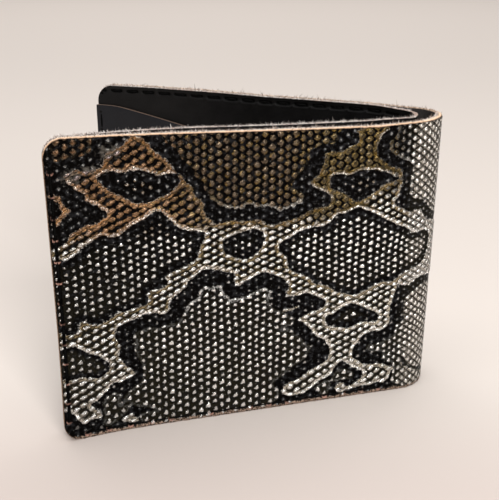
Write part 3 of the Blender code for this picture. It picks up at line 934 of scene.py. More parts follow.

# %% [markdown]
# ## The foil
#
# The foil is a metal coat on the raised scales. It is bright silver low down and on the bend, and
# bronze on the upper part of the front, more orange to the left and more olive to the right. This is
# partly the foil's own tone and partly painted reflection: low down the foil mirrors the bright floor
# near the wallet, higher up the brown floor further out. Which scale keeps how much foil is random, so
# a random number is drawn for each scale from its column and row. The black leather between has a soft
# gloss of its own.

# %% Foil colours
SILVER = (1.0, 0.99, 0.96)
ORANGE_BRONZE = (0.36, 0.215, 0.125)
BROWN_BRONZE = (0.25, 0.195, 0.14)
OLIVE_GOLD = (0.25, 0.20, 0.12)
GOLD = (0.34, 0.24, 0.09)
PALE_GREY = (0.46, 0.41, 0.43)
GILDED_FOIL = (0.20, 0.125, 0.025)
GREY_SPOTS = [(17.3, 85.8, 3.6), (7.5, 79.4, 3.4), (12.0, 81.2, 2.4)]  # u, v and size of places rubbed grey
PALE_RIM = (0.62, 0.53, 0.46)
ORANGE_FOIL = (0.33, 0.19, 0.09)
TAN_FOIL = (0.17, 0.12, 0.065)
OLIVE_FOIL = (0.15, 0.11, 0.045)
BEND_FOIL = (0.30, 0.275, 0.24)
BROWN_FOIL = (0.20, 0.155, 0.085)
PALE_FOIL = (0.38, 0.345, 0.28)
GREY_FOIL = (0.20, 0.18, 0.155)
DULL_FOIL = (0.12, 0.086, 0.055)
BLACK_LEATHER = (0.0015, 0.0012, 0.0011)
FOLD_SHEEN_GREY = (0.012, 0.012, 0.013)
SCALE_SHEEN_GREY = (0.036, 0.037, 0.041)
BEND_SHEEN_LEATHER = (0.05, 0.045, 0.037)
OLIVE_LEATHER = (0.014, 0.0121, 0.0077)
RAW_LEATHER = (0.52, 0.34, 0.23)
SHADED_RAW_LEATHER = (0.16, 0.105, 0.07)
TORN_LEATHER = (0.34, 0.19, 0.15)
FRINGE = (0.05, 0.033, 0.024)
PALE_FRINGE = (0.30, 0.215, 0.165)
GLOSS = 0.014  # of the black leather, where 0.5 is a usual varnish
print(len(GREY_SPOTS), "places are rubbed grey")


# %% The nearest scale
def nearest_scale(finish, column, row, lying, lean, net):
    """Four numbers for the nearest scale. The first is the distance in mm to its middle: 0.45 (r + |x| + |y|)
    with r the round distance, all slanted, and where net is 1 it is |x| / 2 + |y|, whose rhombs meet like a
    net's meshes. The second is 0.6 of the greatest of three slanting lines, a sail's sides, plus 0.35 r. The
    third is how far a place is towards the scale's upper right, and the fourth a random number."""
    found = []
    for shift in (0, 0.5):
        x, y = column * 0.5 + shift, row + shift
        middle_x, middle_y = x.math("ROUND"), y.math("ROUND")
        x, y = (x - middle_x) * (2 * SCALE), (y - middle_y) * SCALE
        across, upward = slanted(x, y, lying, lean)
        round_one = length(across, upward)
        rhomb = across.math("ABSOLUTE") + upward.math("ABSOLUTE")
        mesh = x.math("ABSOLUTE") * 0.5 + y.math("ABSOLUTE")
        distance = (round_one + rhomb) * 0.45 * (1 - net) + mesh * net
        sail = (y * -1.1).most(x * 0.95 + y * 0.25).most(y * 0.7 - x * 0.75)
        number = finish.node("ShaderNodeCombineXYZ", {}, {0: middle_x, 1: middle_y, 2: shift})
        chance = finish.node("ShaderNodeTexWhiteNoise", {}, {"Vector": number})
        found.append((distance, sail * 0.6 + round_one * 0.35, across * 0.6 + upward * 0.8, chance))
    nearer = found[0][0].math("LESS_THAN", found[1][0])
    return [nearer * one + (1 - nearer) * two for one, two in zip(*found)]


# %% [markdown]
# The foil's material grows in steps, much as the leather was made: places, scales, worn lines, tones,
# the leather between them, and the worn edges. In it u and v are millimetres on the flat leather, so
# `u.rise(103, 108)` is a mask that grows from 0 to 1 between these two places. The left, where u is
# small, is called west here. Where the tone of the foil changes, and by how much, was chosen.
# Noises make every border ragged.

# %% Places and regions of the foil leather
foil = Finish("foil_leather")
flat = foil.uv("leather")
ragged = foil.noise(flat, 150, 3) - 0.5
ragged_too = foil.noise(flat, 190, 3) - 0.5
cloudy = foil.noise(flat, 28) - 0.5
folds = foil.noise(flat, 60, 3)
beads = foil.noise(flat, 170, 1).rise(0.43, 0.53)
broken = foil.noise(flat, 60, 2).rise(0.42, 0.52)
column = foil.part(foil.uv("scales"), 0) + ragged * 0.35
row = foil.part(foil.uv("scales"), 1) + ragged_too * 0.35
u, v = foil.part(flat, 0), foil.part(flat, 1)
ground, field, opening = (foil.attribute(name) for name in ("ground", "field", "opening"))

tips = field.rise(-0.8, 1.0)
in_field = opening.rise(-1.0, -0.3)
bend = u.rise(103, 108)
west = u.fall(8, 40)
upper_height = v + cloudy * 7 - u.rise(70, 100) * 3 - u.rise(87, 98) * 7
upper = upper_height.rise(58.5, 64.5) * (u + cloudy * 4).fall(97, 106)
chevron = upper * u.fall(45, 60)
print("regions are ready:", len(foil.tree.nodes), "nodes so far")

# %% [markdown]
# A scale of the light ground keeps a wide body of dull foil with a bright core. The core is partly
# thicker foil on the dome's top and partly a painted highlight, moved towards the scale's upper right,
# its lit side. In the dark shapes only the tips of some scales keep foil: small rounds in the upper part,
# and sails lower down. A body or core is the mask of radius - distance, so one number for each region
# sets how much foil is left.

# %% Body and core of a scale
lying = ground.rise(-0.05, 0.05) * (1 - (upper * u.rise(45, 70)).most(bend))
lean = lying * (0.3 - u.rise(30, 55) * 0.15) + 0.08
distance, sail, lit, chance = nearest_scale(foil, column, row, lying, lean, bend)
scalloped = ground + (0.7 - distance) * 0.3
light = scalloped.rise(-0.05, 0.05)
dark = 1 - light

loose = (cloudy + foil.noise(flat, 85, 1) - 0.5) * 0.3
light_radius = bend * (v.fall(45, 60) * 0.07 + 0.08) + upper * 0.09 - chevron * 0.09 + 0.87
tip_radius = upper * in_field * 0.3 + bend * 0.4 + 0.55
body_radius = light * light_radius + dark * tips * tip_radius
body = (body_radius - distance + ragged * 0.5 + loose).rise(0.0, 0.14)

sails = dark * (1 - upper)
# the core moves towards the lit upper right: a painted highlight as well as foil
core_distance = sails * sail + (1 - sails) * (distance - lit * 0.25)
light_core = chance * 0.2 + upper * 0.1 + 0.56
tip_core = tips * (chance * 0.14 + upper * (in_field * 0.3 - 0.12) - west * 0.05 + 0.42)
core_radius = light * light_core + dark * tip_core.most(chance * 0.5 - 0.1)
core = (core_radius - core_distance + ragged * 0.45).rise(-0.05, 0.1 + upper * 0.25)
print("scales are ready:", len(foil.tree.nodes), "nodes so far")

# %% [markdown]
# The step along an outline is a ridge that rubs against everything. Where its lip faces down it is
# painted white in beads, a painted reflection of the bright floor below, and elsewhere it has a thin
# broken line of painted highlight. Round the open fields a second, fainter rim shows in a few places.
# Small specks on the scales' tips and glints are scattered over the dark shapes: foil, and painted
# highlights too.

# %% Lines and specks
ridge = scalloped + ragged * 1.1 + ragged_too * 1.1
band = ridge.between(0.0, 0.12, 0.75, 1.3)
lip = ridge.rise(0.0, 0.12) * (ridge + upper * u.rise(45, 60) * 0.2).fall(0.65, 1.0)
thin_lip = ridge.between(-0.05, 0.05, 0.1, 0.3)
# painted reflection: white where the lip faces down; the thin lip is a painted highlight
down = foil.attribute("facing").rise(0.1, 0.7)
white = lip * down * (beads * 0.75 + 0.12) * (broken * 0.5 + 0.5)
white = white.most(thin_lip * beads * (0.45 - upper * u.rise(30, 45) * 0.3))

verge = opening + 0.9 - distance * 0.6 + ragged + ragged_too
rim_places = v.between(36, 39, 44, 47) * 0.6
rim_places = rim_places.most(v.between(60, 64, 70.5, 73) * u.fall(98, 101))
rim_places = rim_places.most(v.between(76, 78, 83, 86) * u.between(95, 97, 104, 107) * 0.5) + 0.08
rim = verge.between(0.0, 0.1, 0.5, 0.9) * dark * rim_places
rim = rim * (beads * 0.6 + 0.4) * (broken * 0.8 + 0.2)

# specks and glints: foil, and painted highlights on the scales' tips
specks = (chance * 0.2 + 0.2 - distance + ragged * 0.3).rise(0.0, 0.12) * folds.rise(0.4, 0.55)
specks = specks * dark * (1 - in_field * upper)
glints = (foil.noise(flat, 130, 1).rise(0.64, 0.8) * dark * 0.08).most(specks * 0.22)
print("lines are ready:", len(foil.tree.nodes), "nodes so far")

# %% [markdown]
# The foil itself: `bright` is the colour of a core and `dim` that of a body. Both turn from silver on
# the low part to bronze on the upper one, partly as the foil's tone and partly as painted reflection,
# and three spots at the upper left are rubbed down to grey.

# %% Tones of the foil
bronze = foil.blend(u.rise(26, 46), ORANGE_BRONZE, BROWN_BRONZE)
bronze = foil.blend(u.rise(64, 82), bronze, OLIVE_GOLD)
gilded = foil.noise(flat, 40, 2).rise(0.5, 0.62) * (u + cloudy * 8).rise(22, 30)
bronze = foil.blend(gilded * 0.6, bronze, GOLD)
worn_off = 0.0
for spot_u, spot_v, size in GREY_SPOTS:
    spot_distance = length((u - spot_u) * (1 / size), (v - spot_v) * (1.5 / size))
    worn_off = (spot_distance + ragged * 1.6).fall(0.5, 1.1).most(worn_off)
bronze = foil.blend(worn_off * 0.8, bronze, PALE_GREY)
# partly painted reflection: silver cores low down, bronze ones higher up
bright = foil.blend(upper * light.most(in_field), SILVER, bronze)

# paler bodies low down: partly painted reflection of the bright floor
low = (v + cloudy * 10 - (u - 60) * 0.15).fall(18, 42)
dim = foil.blend(low * light, foil.blend(light, GREY_FOIL, BROWN_FOIL), PALE_FOIL)
dim = foil.blend(bend, dim, BEND_FOIL)
upper_dim = foil.blend(light, DULL_FOIL, foil.blend(u.rise(28, 44), ORANGE_FOIL, TAN_FOIL))
dim = foil.blend(upper, dim, upper_dim)
dim = foil.blend(upper * u.rise(64, 82), dim, OLIVE_FOIL)
dim = foil.blend(upper * gilded * 0.6, dim, GILDED_FOIL)
dim = foil.blend(worn_off * 0.8, dim, GREY_FOIL)
dim = foil.blend(dark * (1 - in_field) * u.rise(64, 76) * 0.8, dim, GREY_FOIL)
print("foil tones are ready:", len(foil.tree.nodes), "nodes so far")

# %% [markdown]
# Between the scales the leather shows: black, with a painted grey sheen where it is folded, olive low
# down, olive and lighter on the bend as a painted sheen, and with a painted grey sheen on each scale's
# dome in the dark shapes.

# %% Leather between the scales
# painted sheen: grey on the folds
dull = foil.blend(folds.rise(0.5, 0.68), BLACK_LEATHER, FOLD_SHEEN_GREY)
# painted sheen: grey on each dark scale's dome
scale_sheen = (0.85 - distance).rise(0.0, 0.5) * dark * folds.rise(0.4, 0.6)
dull = foil.blend(scale_sheen * (u.rise(30, 90) * 0.5 + 0.4), dull, SCALE_SHEEN_GREY)
# olive low down, and on the bend as painted sheen
olive = (v.fall(15, 65) * 0.7 + 0.2) * tips.most(light) * (1 - upper) + bend * 0.6
dull = foil.blend(olive.least(1) * (1 - folds.rise(0.45, 0.6) * 0.5), dull, OLIVE_LEATHER)
# painted sheen: lighter leather on the bend
dull = foil.blend(bend * light * v.fall(45, 60) * 0.6, dull, BEND_SHEEN_LEATHER)
dull = foil.blend(worn_off * folds.rise(0.42, 0.56) * 0.35, dull, GREY_FOIL)
print("leather tones are ready:", len(foil.tree.nodes), "nodes so far")

# %% [markdown]
# Now the layers go over each other: leather, bodies, cores, glints, white lips and rims. `shade` darkens
# cores: at random from scale to scale, which is the foil's own tone, and with painted shade and reflection:
# dark in the middle of upper scales, so that they look like rings, darker towards the left, and a little
# darker on the bend. The bodies are painted darker towards the left as well.

# %% Layers of the face
silvered = light * (1 - upper)
# painted shade: colours darker towards the left
left_shade_factor = u.rise(0, 80) * 0.3 + 0.7
grit = foil.noise(flat, 260, 2) * 1.4 + 0.3
chevron_top = chevron * v.rise(68, 76)
brightness = silvered * 0.15 + light * (chevron * 0.35 - chevron_top * 0.45) + 1
colour = foil.blend(body.most(band), dull, foil.scaled(dim, grit * left_shade_factor * brightness))

# painted reflection: the middle of upper scales is darker, so that they look like rings
dark_middle_reflection = upper * (u.rise(55, 76) * light).most(u.rise(30, 60) * dark * 0.5)
dark_middle_reflection = dark_middle_reflection * (distance + lit * 0.2).fall(0.3, 0.6)
band_scales = dark * (1 - in_field) * (upper * 0.4 + west * 0.3)
shade = (chance * 0.35 + 0.65) * (1 - dark_middle_reflection * 0.7) * (light.most(tips) * 0.75 + 0.25)
shade = shade * (1 - band_scales.most(dark * upper * 0.25))
# the last factor is a little painted shade on the bend
shade = shade * (1 - v.rise(66, 70) * u.between(95, 98, 103, 107.5) * 0.75) * (1 - bend * 0.1)
shade = shade * left_shade_factor * (1 - silvered * 0.07 - chevron_top * 0.15)
colour = foil.blend(core, colour, foil.scaled(bright, shade))

colour = foil.blend(glints, colour, SILVER)
colour = foil.blend(white, colour, foil.blend(west * upper, SILVER, PALE_RIM))
rim_colour = foil.blend(upper * v.rise(65, 71), SILVER, OLIVE_GOLD)
colour = foil.blend(rim, colour, foil.scaled(rim_colour, 0.75))
print("the face is ready:", len(foil.tree.nodes), "nodes so far")

# %% [markdown]
# Along the edges the foil is gone. The upper edge is rubbed to pale raw leather, and the raw leather
# along the end is painted darker, as shade. The lower edge is a dark fringe, the seam lies in a black
# groove, and at the holes the thread has torn the face open.

# %% Worn edges
edge = foil.attribute("edge")
inner = (edge + ragged * 0.5).rise(0.25, 0.4)
worn = (edge - 0.1 + ragged * 0.4).fall(0, 0.15)
fringe = (v + ragged * 2.5 + cloudy * 1.5).fall(0.7, 1.3) * (1 - worn * 0.3)
groove = (foil.attribute("seam") + v.fall(3, 5) * 0.35 + ragged * 0.4).fall(0.4, 0.65)
torn = (foil.attribute("torn") + ragged * 0.5).rise(-0.05, 0.12) * (cloudy * 6 + 0.5).least(1).most(0)
colour = foil.blend(inner, BLACK_LEATHER, colour)
# painted shade: the raw leather below the top is darker
colour = foil.blend(worn, colour, foil.blend(v.rise(84, 87), SHADED_RAW_LEATHER, RAW_LEATHER))
colour = foil.blend(fringe, colour, foil.blend(beads, FRINGE, PALE_FRINGE))
colour = foil.blend(groove, colour, BLACK_LEATHER)
colour = foil.blend(torn, colour, TORN_LEATHER)
print("worn edges are ready:", len(foil.tree.nodes), "nodes so far")

# %% [markdown]
# Foil is metal and leather isn't, so one mask says where foil is kept. The bump adds what is too fine
# for the mesh: the scales' roundness, grain, and creases in the bare leather.

# %% The foil leather
kept = body.most(band).most(core).most(glints).most(white).most(rim) * inner
metal = kept * (1 - worn) * (1 - fringe) * (1 - groove) * (1 - torn)
grain = foil.noise(flat, 160, 3)
roughness = 0.27 - metal * 0.03 + (grain - 0.5) * 0.2
on_dome = (1 - distance * distance * 0.8).most(0) * (light * 0.4 + tips * dark * 0.3 + 0.3)
bump = on_dome * 0.9 + grain * 0.09 + foil.noise(flat, 330, 1) * 0.03
bump = bump + folds * (1 - kept) * 0.5 + ridge.rise(-0.1, 0.15) * 0.16
foil_leather = foil.surface(
    bump, 1.0, Base_Color=colour, Metallic=metal * 0.95, Roughness=roughness, Specular_IOR_Level=GLOSS
)
print("foil leather has", len(foil.tree.nodes), "nodes")

# %% [markdown]
# The leather looks vegetable-tanned: where it is cut, it is peach near the face, and pale and fibrous
# further in. Its inner side is taken to be dyed dark, with a short nap.

# %% Cut edge and inner side of the cover
CUT_PEACH = (0.72, 0.52, 0.36)
CUT_PALE = (0.50, 0.42, 0.36)
CUT_DARK = (0.03, 0.02, 0.016)
NAP_DARK = (0.012, 0.010, 0.010)
NAP_PALE = (0.05, 0.04, 0.036)


def cut_edge():
    """Peach turns pale inwards where deep + noise passes a half, and dark pits grow in number with depth."""
    finish = Finish("cut_edge")
    flat = finish.uv("leather")
    deep = finish.attribute("deep")
    bend = finish.part(flat, 0).rise(100, 110)
    fibres = finish.noise(flat, 110, 4)
    inner = (deep + (fibres - 0.5) * 0.8).rise(0.45, 0.7) * (1 - bend * 0.8)
    dark = fibres.rise(0.48, 0.58) * (deep * 1.3 - 0.3 - bend * 0.5).most(0)
    colour = finish.blend(dark, finish.blend(inner, CUT_PEACH, CUT_PALE), CUT_DARK)
    return finish.surface(fibres, 0.15, Base_Color=colour, Roughness=0.85)


def flesh_side():
    """The nap's noise mixes two dark browns and is the bump too."""
    finish = Finish("flesh_side")
    nap = finish.noise(finish.uv("leather"), 120, 4)
    return finish.surface(nap, 0.2, Base_Color=finish.blend(nap, NAP_DARK, NAP_PALE), Roughness=0.95)


cover_materials = [foil_leather, cut_edge(), flesh_side()]
cover_front = make_cover("cover_half_front", -1, cover_materials)
cover_back = make_cover("cover_half_back", 1, cover_materials)

# %% [markdown]
# Both pieces of the cover are one strip of leather. Each hinge lies at a crease, a quarter of the
# bend's length from its middle.

# %% Bake the cover's pieces in place
FRONT_PIVOT = place(-CREASE, 0, HEIGHT / 2) * MM
BACK_PIVOT = place(CREASE, 0, HEIGHT / 2) * MM
BEND_MIDDLE = place(0, 0, HEIGHT / 2) * MM


def bend_with(piece, side, start):
    """Bakes a piece's transform into its mesh, so that the piece stays where it was built."""
    if side < 0:
        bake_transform(piece)
    else:
        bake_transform(piece)


bend_with(cover_front, -1, FRONT_PIVOT)
bend_with(cover_back, 1, BACK_PIVOT)
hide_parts("cover_front", "cover_spine")
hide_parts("cover_back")
print("the cover bends between", np.round(FRONT_PIVOT / MM, 1), "and", np.round(BACK_PIVOT / MM, 1))

# %% [markdown]
# ## The lining
#
# The lining is thinner black leather. It is sewn to the cover at the ends and along the bottom and
# leans away from it higher up, which makes the bill compartment. A running stitch follows its upper
# edge, and the leather puckers where the thread pulls. Its cut edge is raw, pale and fibrous.

# %% Lining
TOP_STITCH_INSET = 1.7
TOP_PERIOD = 6.0
STITCH_LENGTH = 3.7
FIRST_STITCH = 5.4
SOFT_COLUMNS = 150
SOFT_ROWS = 76
SOFT_CORNER_COLUMNS = 8
TOP_STITCHES = np.arange(FIRST_STITCH, HALF_LENGTH - BEND_MARGIN - STITCH_LENGTH, TOP_PERIOD)
DENT_RADIUS = 0.8
DENT_DEPTH = 0.45
LOOP_DEPTH = 6.3  # of the lining at the creases
LOOP_MIDDLE_DEPTH = LOOP_DEPTH + 0.7


def pucker(u, v):
    """The dents that the upper seam pulls, 1 in the middle: at each end of a stitch a bell,
    exp(-(distance / radius)^2)."""
    dents = np.zeros(u.shape)
    upward = ((v - HEIGHT + TOP_STITCH_INSET) / DENT_RADIUS) ** 2
    for start in TOP_STITCHES:
        for end in (start, start + STITCH_LENGTH):
            dents = np.maximum(dents, np.exp(-(((u - end) / DENT_RADIUS) ** 2 + upward)))
    return dents


def make_lining(name, side, materials):
    """One half of the lining with its half of the bend: thickness = plain thickness - dents + waves. The
    waves are low hills, which fade towards the outer end."""
    u, v = flat_grid(OUTER_END, SOFT_COLUMNS, SOFT_ROWS, SOFT_CORNER_COLUMNS)
    depth = lining_at(side, u, v)
    waves = 0.25 * hills(u, v, 9, 10 + side) * smooth(v / 20) + 0.12 * hills(u, v / 3, 3, 12 + side)
    thick = LINER_THICKNESS - DENT_DEPTH * pucker(u, v) + waves * smooth((u - 6) / 20)
    outer, inner = on_half(side, u, v, depth), on_half(side, u, v, depth + thick)
    points, faces, kinds, source = closed_sheet(outer, inner, step=1)
    uvs = {"leather": sheet_uv(u, v, source)}
    piece = make_piece(name, points, faces, kinds, materials, uvs)
    return piece


# %% Lining materials
LINING_BLACK = (0.001, 0.001, 0.001)
LINING_GREY = (0.012, 0.0115, 0.0115)
SWELLING_HIGHLIGHT = (0.014, 0.014, 0.014)
DENT_SHADE = (0.0003, 0.0003, 0.0003)
RAW_WHITE = (0.50, 0.475, 0.45)
RAW_PINK = (0.40, 0.295, 0.245)
RAW_DARK = (0.02, 0.016, 0.014)
LINING_GLOSS = 0.06


def pulled_in(u, v):
    """Distance in mm to the nearest hole of the end's seam, or to the nearest stitch of the upper one.
    PINGPONG gives how far a place is from the nearest of evenly spaced ones."""
    up = (v - FIRST_HOLE).math("PINGPONG", END_PERIOD / 2)
    past = (u - FIRST_STITCH - STITCH_LENGTH / 2).math("PINGPONG", TOP_PERIOD / 2) - STITCH_LENGTH / 2
    stitch = length(past.most(0), v - HEIGHT + TOP_STITCH_INSET)
    return length(up, u - STITCH_INSET).least(stitch)


def black_lining():
    """Black leather, with painted shade where a stitch pulls it in and a painted highlight on the soft
    swelling below each upper stitch.
    """
    finish = Finish("black_lining")
    flat = finish.uv("leather")
    u, v = finish.part(flat, 0), finish.part(flat, 1)
    grain = finish.noise(flat, 110, 4)
    folds = finish.noise(flat, 22, 3)
    pulled = pulled_in(u, v) + (grain - 0.5) * 0.5
    below = (v - HEIGHT + TOP_STITCH_INSET).fall(-0.7, 0.0)
    swelling = pulled.between(0.5, 1.0, 1.0, 1.6) * below * u.rise(20, 50)
    colour = finish.blend(folds * 0.6 + u.fall(20, 60) * 0.6, LINING_BLACK, LINING_GREY)
    # painted highlight on the swelling below each upper stitch
    colour = finish.blend(swelling * 0.7, colour, SWELLING_HIGHLIGHT)
    # painted shade where the stitches pull the leather in
    colour = finish.blend(pulled.fall(0.35, 0.6), colour, DENT_SHADE)
    height = grain * 0.12 + folds * 0.25 + swelling * 0.25 + pulled.rise(0.2, 0.8) * 0.3
    looks = {"Base_Color": colour, "Roughness": grain * 0.15 + 0.42, "Specular_IOR_Level": LINING_GLOSS}
    return finish.surface(height, 1.0, **looks)


def raw_edge():
    """A raw edge of the lining: grey-white to pink fibres over black, pinker towards the bend."""
    finish = Finish("raw_edge")
    flat = finish.uv("leather")
    fibres = finish.noise(flat, 130, 5)
    pink = finish.noise(flat, 12, 2).rise(0.4, 0.6).most(finish.part(flat, 0).rise(90, 105))
    pale = finish.blend(pink, RAW_WHITE, RAW_PINK)
    colour = finish.blend(fibres.rise(0.42, 0.52), RAW_DARK, pale)
    return finish.surface(fibres, 0.2, Base_Color=colour, Roughness=0.9)


lining_materials = [black_lining(), raw_edge(), black_lining()]
lining_front = make_lining("lining_front", -1, lining_materials)
lining_back = make_lining("lining_back", 1, lining_materials)
loop_middle = place(0, LOOP_MIDDLE_DEPTH, HEIGHT / 2) * MM
bend_with(lining_front, -1, place(-CREASE, LOOP_DEPTH, HEIGHT / 2) * MM)
bend_with(lining_back, 1, place(CREASE, LOOP_DEPTH, HEIGHT / 2) * MM)
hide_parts("liner_front", "liner_spine")
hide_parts("liner_back")

# %% [markdown]
# ## Card pockets
#
# Each half has two pockets of blue-black leather. Their upper edges slant down towards the bend, so
# that a card can be pulled out by its corner. The edge is cut raw, and its brown core shows as a line.

# %% Card pockets
POCKET_START = 8.0
FRONT_PROUD = -0.4  # past the cover's end
BACK_PROUD = 0.1
POCKET_TOP = 85.0
POCKET_FLAT_TOP = 83.4
POCKET_SLOPE = math.tan(math.radians(12))
POCKET_STEP = 12.0
POCKET_COLUMNS = 110
POCKET_ROWS = 66
POCKET_ROUNDING = 0.15
POCKET_EDGE_WIDTH = 0.8
POCKET_WAVES = 0.12
UPPER_POCKET_DEPTH = LINER_THICKNESS + GAP
LOWER_POCKET_DEPTH = UPPER_POCKET_DEPTH + POCKET_THICKNESS + GAP


def pocket_top(u):
    """Height of the upper pocket's edge, u from its outer end: level first, and then it slants down. The
    two lines a and b are joined softly: (a + b - sqrt((a - b)^2 + 0.3)) / 2 is near the lesser of them."""
    slanting = POCKET_TOP - u * POCKET_SLOPE
    return (POCKET_FLAT_TOP + slanting - np.sqrt((POCKET_FLAT_TOP - slanting) ** 2 + 0.3)) / 2


def make_pocket(name, side, depth, drop, materials):
    """A pocket's sheet, `depth` inside the lining's outer face and `drop` lower than the upper pocket. Its
    upper edge is rounded off as (1 - distance / width)^2, and its inner face has low waves."""
    proud = FRONT_PROUD if side < 0 else BACK_PROUD
    long = HALF_LENGTH + proud - POCKET_START

    def edge_height(u):
        return pocket_top(u) - drop

    u, v = flat_grid(long, POCKET_COLUMNS, POCKET_ROWS, SOFT_CORNER_COLUMNS, edge_height)
    base = lining_at(side, u - proud, v) + depth
    rounding = POCKET_ROUNDING * np.clip(1 - (edge_height(u) - v) / POCKET_EDGE_WIDTH, 0, 1) ** 2
    waves = POCKET_WAVES * hills(u, v, 12, 20 + side) * smooth(u / 20)
    outer = on_half(side, u - proud, v, base)
    inner = on_half(side, u - proud, v, base + POCKET_THICKNESS - rounding + waves)
    points, faces, kinds, source = closed_sheet(outer, inner, layers=2, step=1)
    uvs = {"leather": sheet_uv(u, v, source)}
    piece = make_piece(name, points, faces, kinds, materials, uvs)
    return piece


# %% Pocket materials, and the four pockets
POCKET_BLACK = (0.010, 0.010, 0.012)
POCKET_BLUE = (0.016, 0.017, 0.020)
POCKET_DENT_SHADE = (0.0005, 0.0005, 0.0005)
CORE_DARK = (0.04, 0.025, 0.018)
CORE_BROWN = (0.17, 0.108, 0.076)
POCKET_GLOSS = 0.15


def pocket_leather():
    """Slow clouds mix two blue-blacks, with painted shade round the holes of the end's seam."""
    finish = Finish("pocket_leather")
    flat = finish.uv("leather")
    pulled = pulled_in(finish.part(flat, 0), finish.part(flat, 1))
    grain = finish.noise(flat, 90, 4)
    colour = finish.blend(finish.noise(flat, 9, 2), POCKET_BLACK, POCKET_BLUE)
    # painted shade round the holes of the end's seam
    colour = finish.blend(pulled.fall(0.35, 0.55), colour, POCKET_DENT_SHADE)
    looks = {"Base_Color": colour, "Roughness": grain * 0.15 + 0.42, "Specular_IOR_Level": POCKET_GLOSS}
    return finish.surface(grain, 0.15, **looks)


def brown_edge():
    """The leather's brown core, as a noise of fibres between two browns."""
    finish = Finish("brown_edge")
    fibres = finish.noise(finish.uv("leather"), 150, 4)
    return finish.surface(fibres, 0.15, Base_Color=finish.blend(fibres, CORE_DARK, CORE_BROWN), Roughness=0.8)


pocket_materials = [pocket_leather(), brown_edge(), pocket_leather()]
for side_name, side in (("front", -1), ("back", 1)):
    for level, depth, drop in (("upper", UPPER_POCKET_DEPTH, 0), ("lower", LOWER_POCKET_DEPTH, POCKET_STEP)):
        node = "card_pocket_" + side_name + "_" + level
        pocket = make_pocket("pocket_" + side_name + "_" + level, side, depth, drop, pocket_materials)
        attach(pocket, side_name + "_half")
        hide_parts(node)

# %% [markdown]
# ## Stitches
#
# The solids show each seam as one plain line. On the real wallet it is a row of separate stitches of
# waxed black thread, each a short arc that rises from one hole and dives into the next. A stitch is a
# circle carried along such an arc, getting thinner towards its ends.

# %% Stitches from arcs
THREAD_RADIUS = 0.3
STITCH_POINTS = 9
STITCH_SIDES = 8
STITCH_RISE = 0.45
STITCH_TIP = 0.04
SUNK_OUTSIDE = 0.75
SUNK_INSIDE = 0.5
THREAD_DARK = (0.0008, 0.0008, 0.0008)
THREAD_PALE = (0.0028, 0.0028, 0.0028)
THREAD_GLOSS = 0.04


def stitch_tubes(starts, ends, inwards, sunk):
    """Points and faces of one closed tube for each stitch. starts, ends and inwards are arrays of vectors.
    The arc's height is h(t) = rise sqrt(1 - (2t - 1)^2) - sunk, and the tube's radius is
    r (1 - (2t - 1)^6) + tip."""
    t = np.linspace(0, 1, STITCH_POINTS)
    height = STITCH_RISE * np.sqrt(1 - (2 * t - 1) ** 2) - sunk
    radius = THREAD_RADIUS * (1 - (2 * t - 1) ** 6) + STITCH_TIP
    middle = starts[:, None] * (1 - t)[None, :, None] + ends[:, None] * t[None, :, None]
    middle = middle + inwards[:, None] * height[None, :, None]
    direction = ends - starts
    direction = direction / np.linalg.norm(direction, axis=1)[:, None]
    sideways = np.cross(direction, inwards)
    angles = np.arange(STITCH_SIDES) * 2 * math.pi / STITCH_SIDES
    cosines, sines = np.cos(angles)[None, :, None], np.sin(angles)[None, :, None]
    ring = cosines * inwards[:, None] + sines * sideways[:, None]
    points = middle[:, :, None] + ring[:, None] * radius[None, :, None, None]
    count = len(starts)
    numbers = np.arange(points.size // 3).reshape(count, STITCH_POINTS, STITCH_SIDES)
    wrapped = np.concatenate([numbers, numbers[:, :, :1]], 2)
    sides = np.concatenate([grid_quads(w) for w in wrapped])
    caps = np.concatenate([numbers[:, 0, :], numbers[:, -1, ::-1]])
    return points.reshape(-1, 3), [sides, caps]


def normal_at(along, depth, z):
    """The direction from the cover's outer face inwards, seen from above."""
    step = place(along, depth + 0.5, z) - place(along, depth - 0.5, z)
    step[..., 2] = 0
    return step / np.linalg.norm(step, axis=-1)[..., None]


def black_thread():
    """Waxed thread: fine slanting ridges of its twist."""
    finish = Finish("black_thread")
    where = finish.node("ShaderNodeTexCoord", {}, {}, output=3)
    settings = {"bands_direction": "DIAGONAL"}
    twist = finish.node("ShaderNodeTexWave", settings, {"Vector": where, "Scale": 900.0})
    colour = finish.blend(twist, THREAD_DARK, THREAD_PALE)
    return finish.surface(twist, 0.05, Base_Color=colour, Roughness=0.55, Specular_IOR_Level=THREAD_GLOSS)


thread_material = black_thread()
print("upper stitches:", STITCH_LENGTH, "mm long, every", TOP_PERIOD, "mm")


# %% Sew the seams
def inner_face(side, u, v):
    """Depth of the innermost leather at a place: the lower pocket, the upper pocket or the lining."""
    below_upper = v < pocket_top(u)
    below_lower = v < pocket_top(u) - POCKET_STEP
    added = np.where(below_upper, UPPER_POCKET_DEPTH + POCKET_THICKNESS, LINER_THICKNESS)
    return lining_at(side, u, v) + np.where(below_lower, LOWER_POCKET_DEPTH + POCKET_THICKNESS, added)


def sew(name, side, starts, ends, inside, node):
    """A row of stitches between places (u, v), on the cover's outer face or on the innermost leather."""
    made = []
    for u, v in (starts.T, ends.T):
        made.append(on_half(side, u, v, inner_face(side, u, v) if inside else 0))
    middle_u, middle_v = ((starts + ends) / 2).T
    normal = normal_at(side * (OUTER_END - middle_u), 0.0, middle_v) * (1 if inside else -1)
    points, faces = stitch_tubes(made[0], made[1], normal, SUNK_INSIDE if inside else SUNK_OUTSIDE)
    piece = make_piece(name, points, faces, materials=[thread_material])
    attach(piece, "front_half" if side < 0 else "back_half")
    if node:
        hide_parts(node)
    return piece


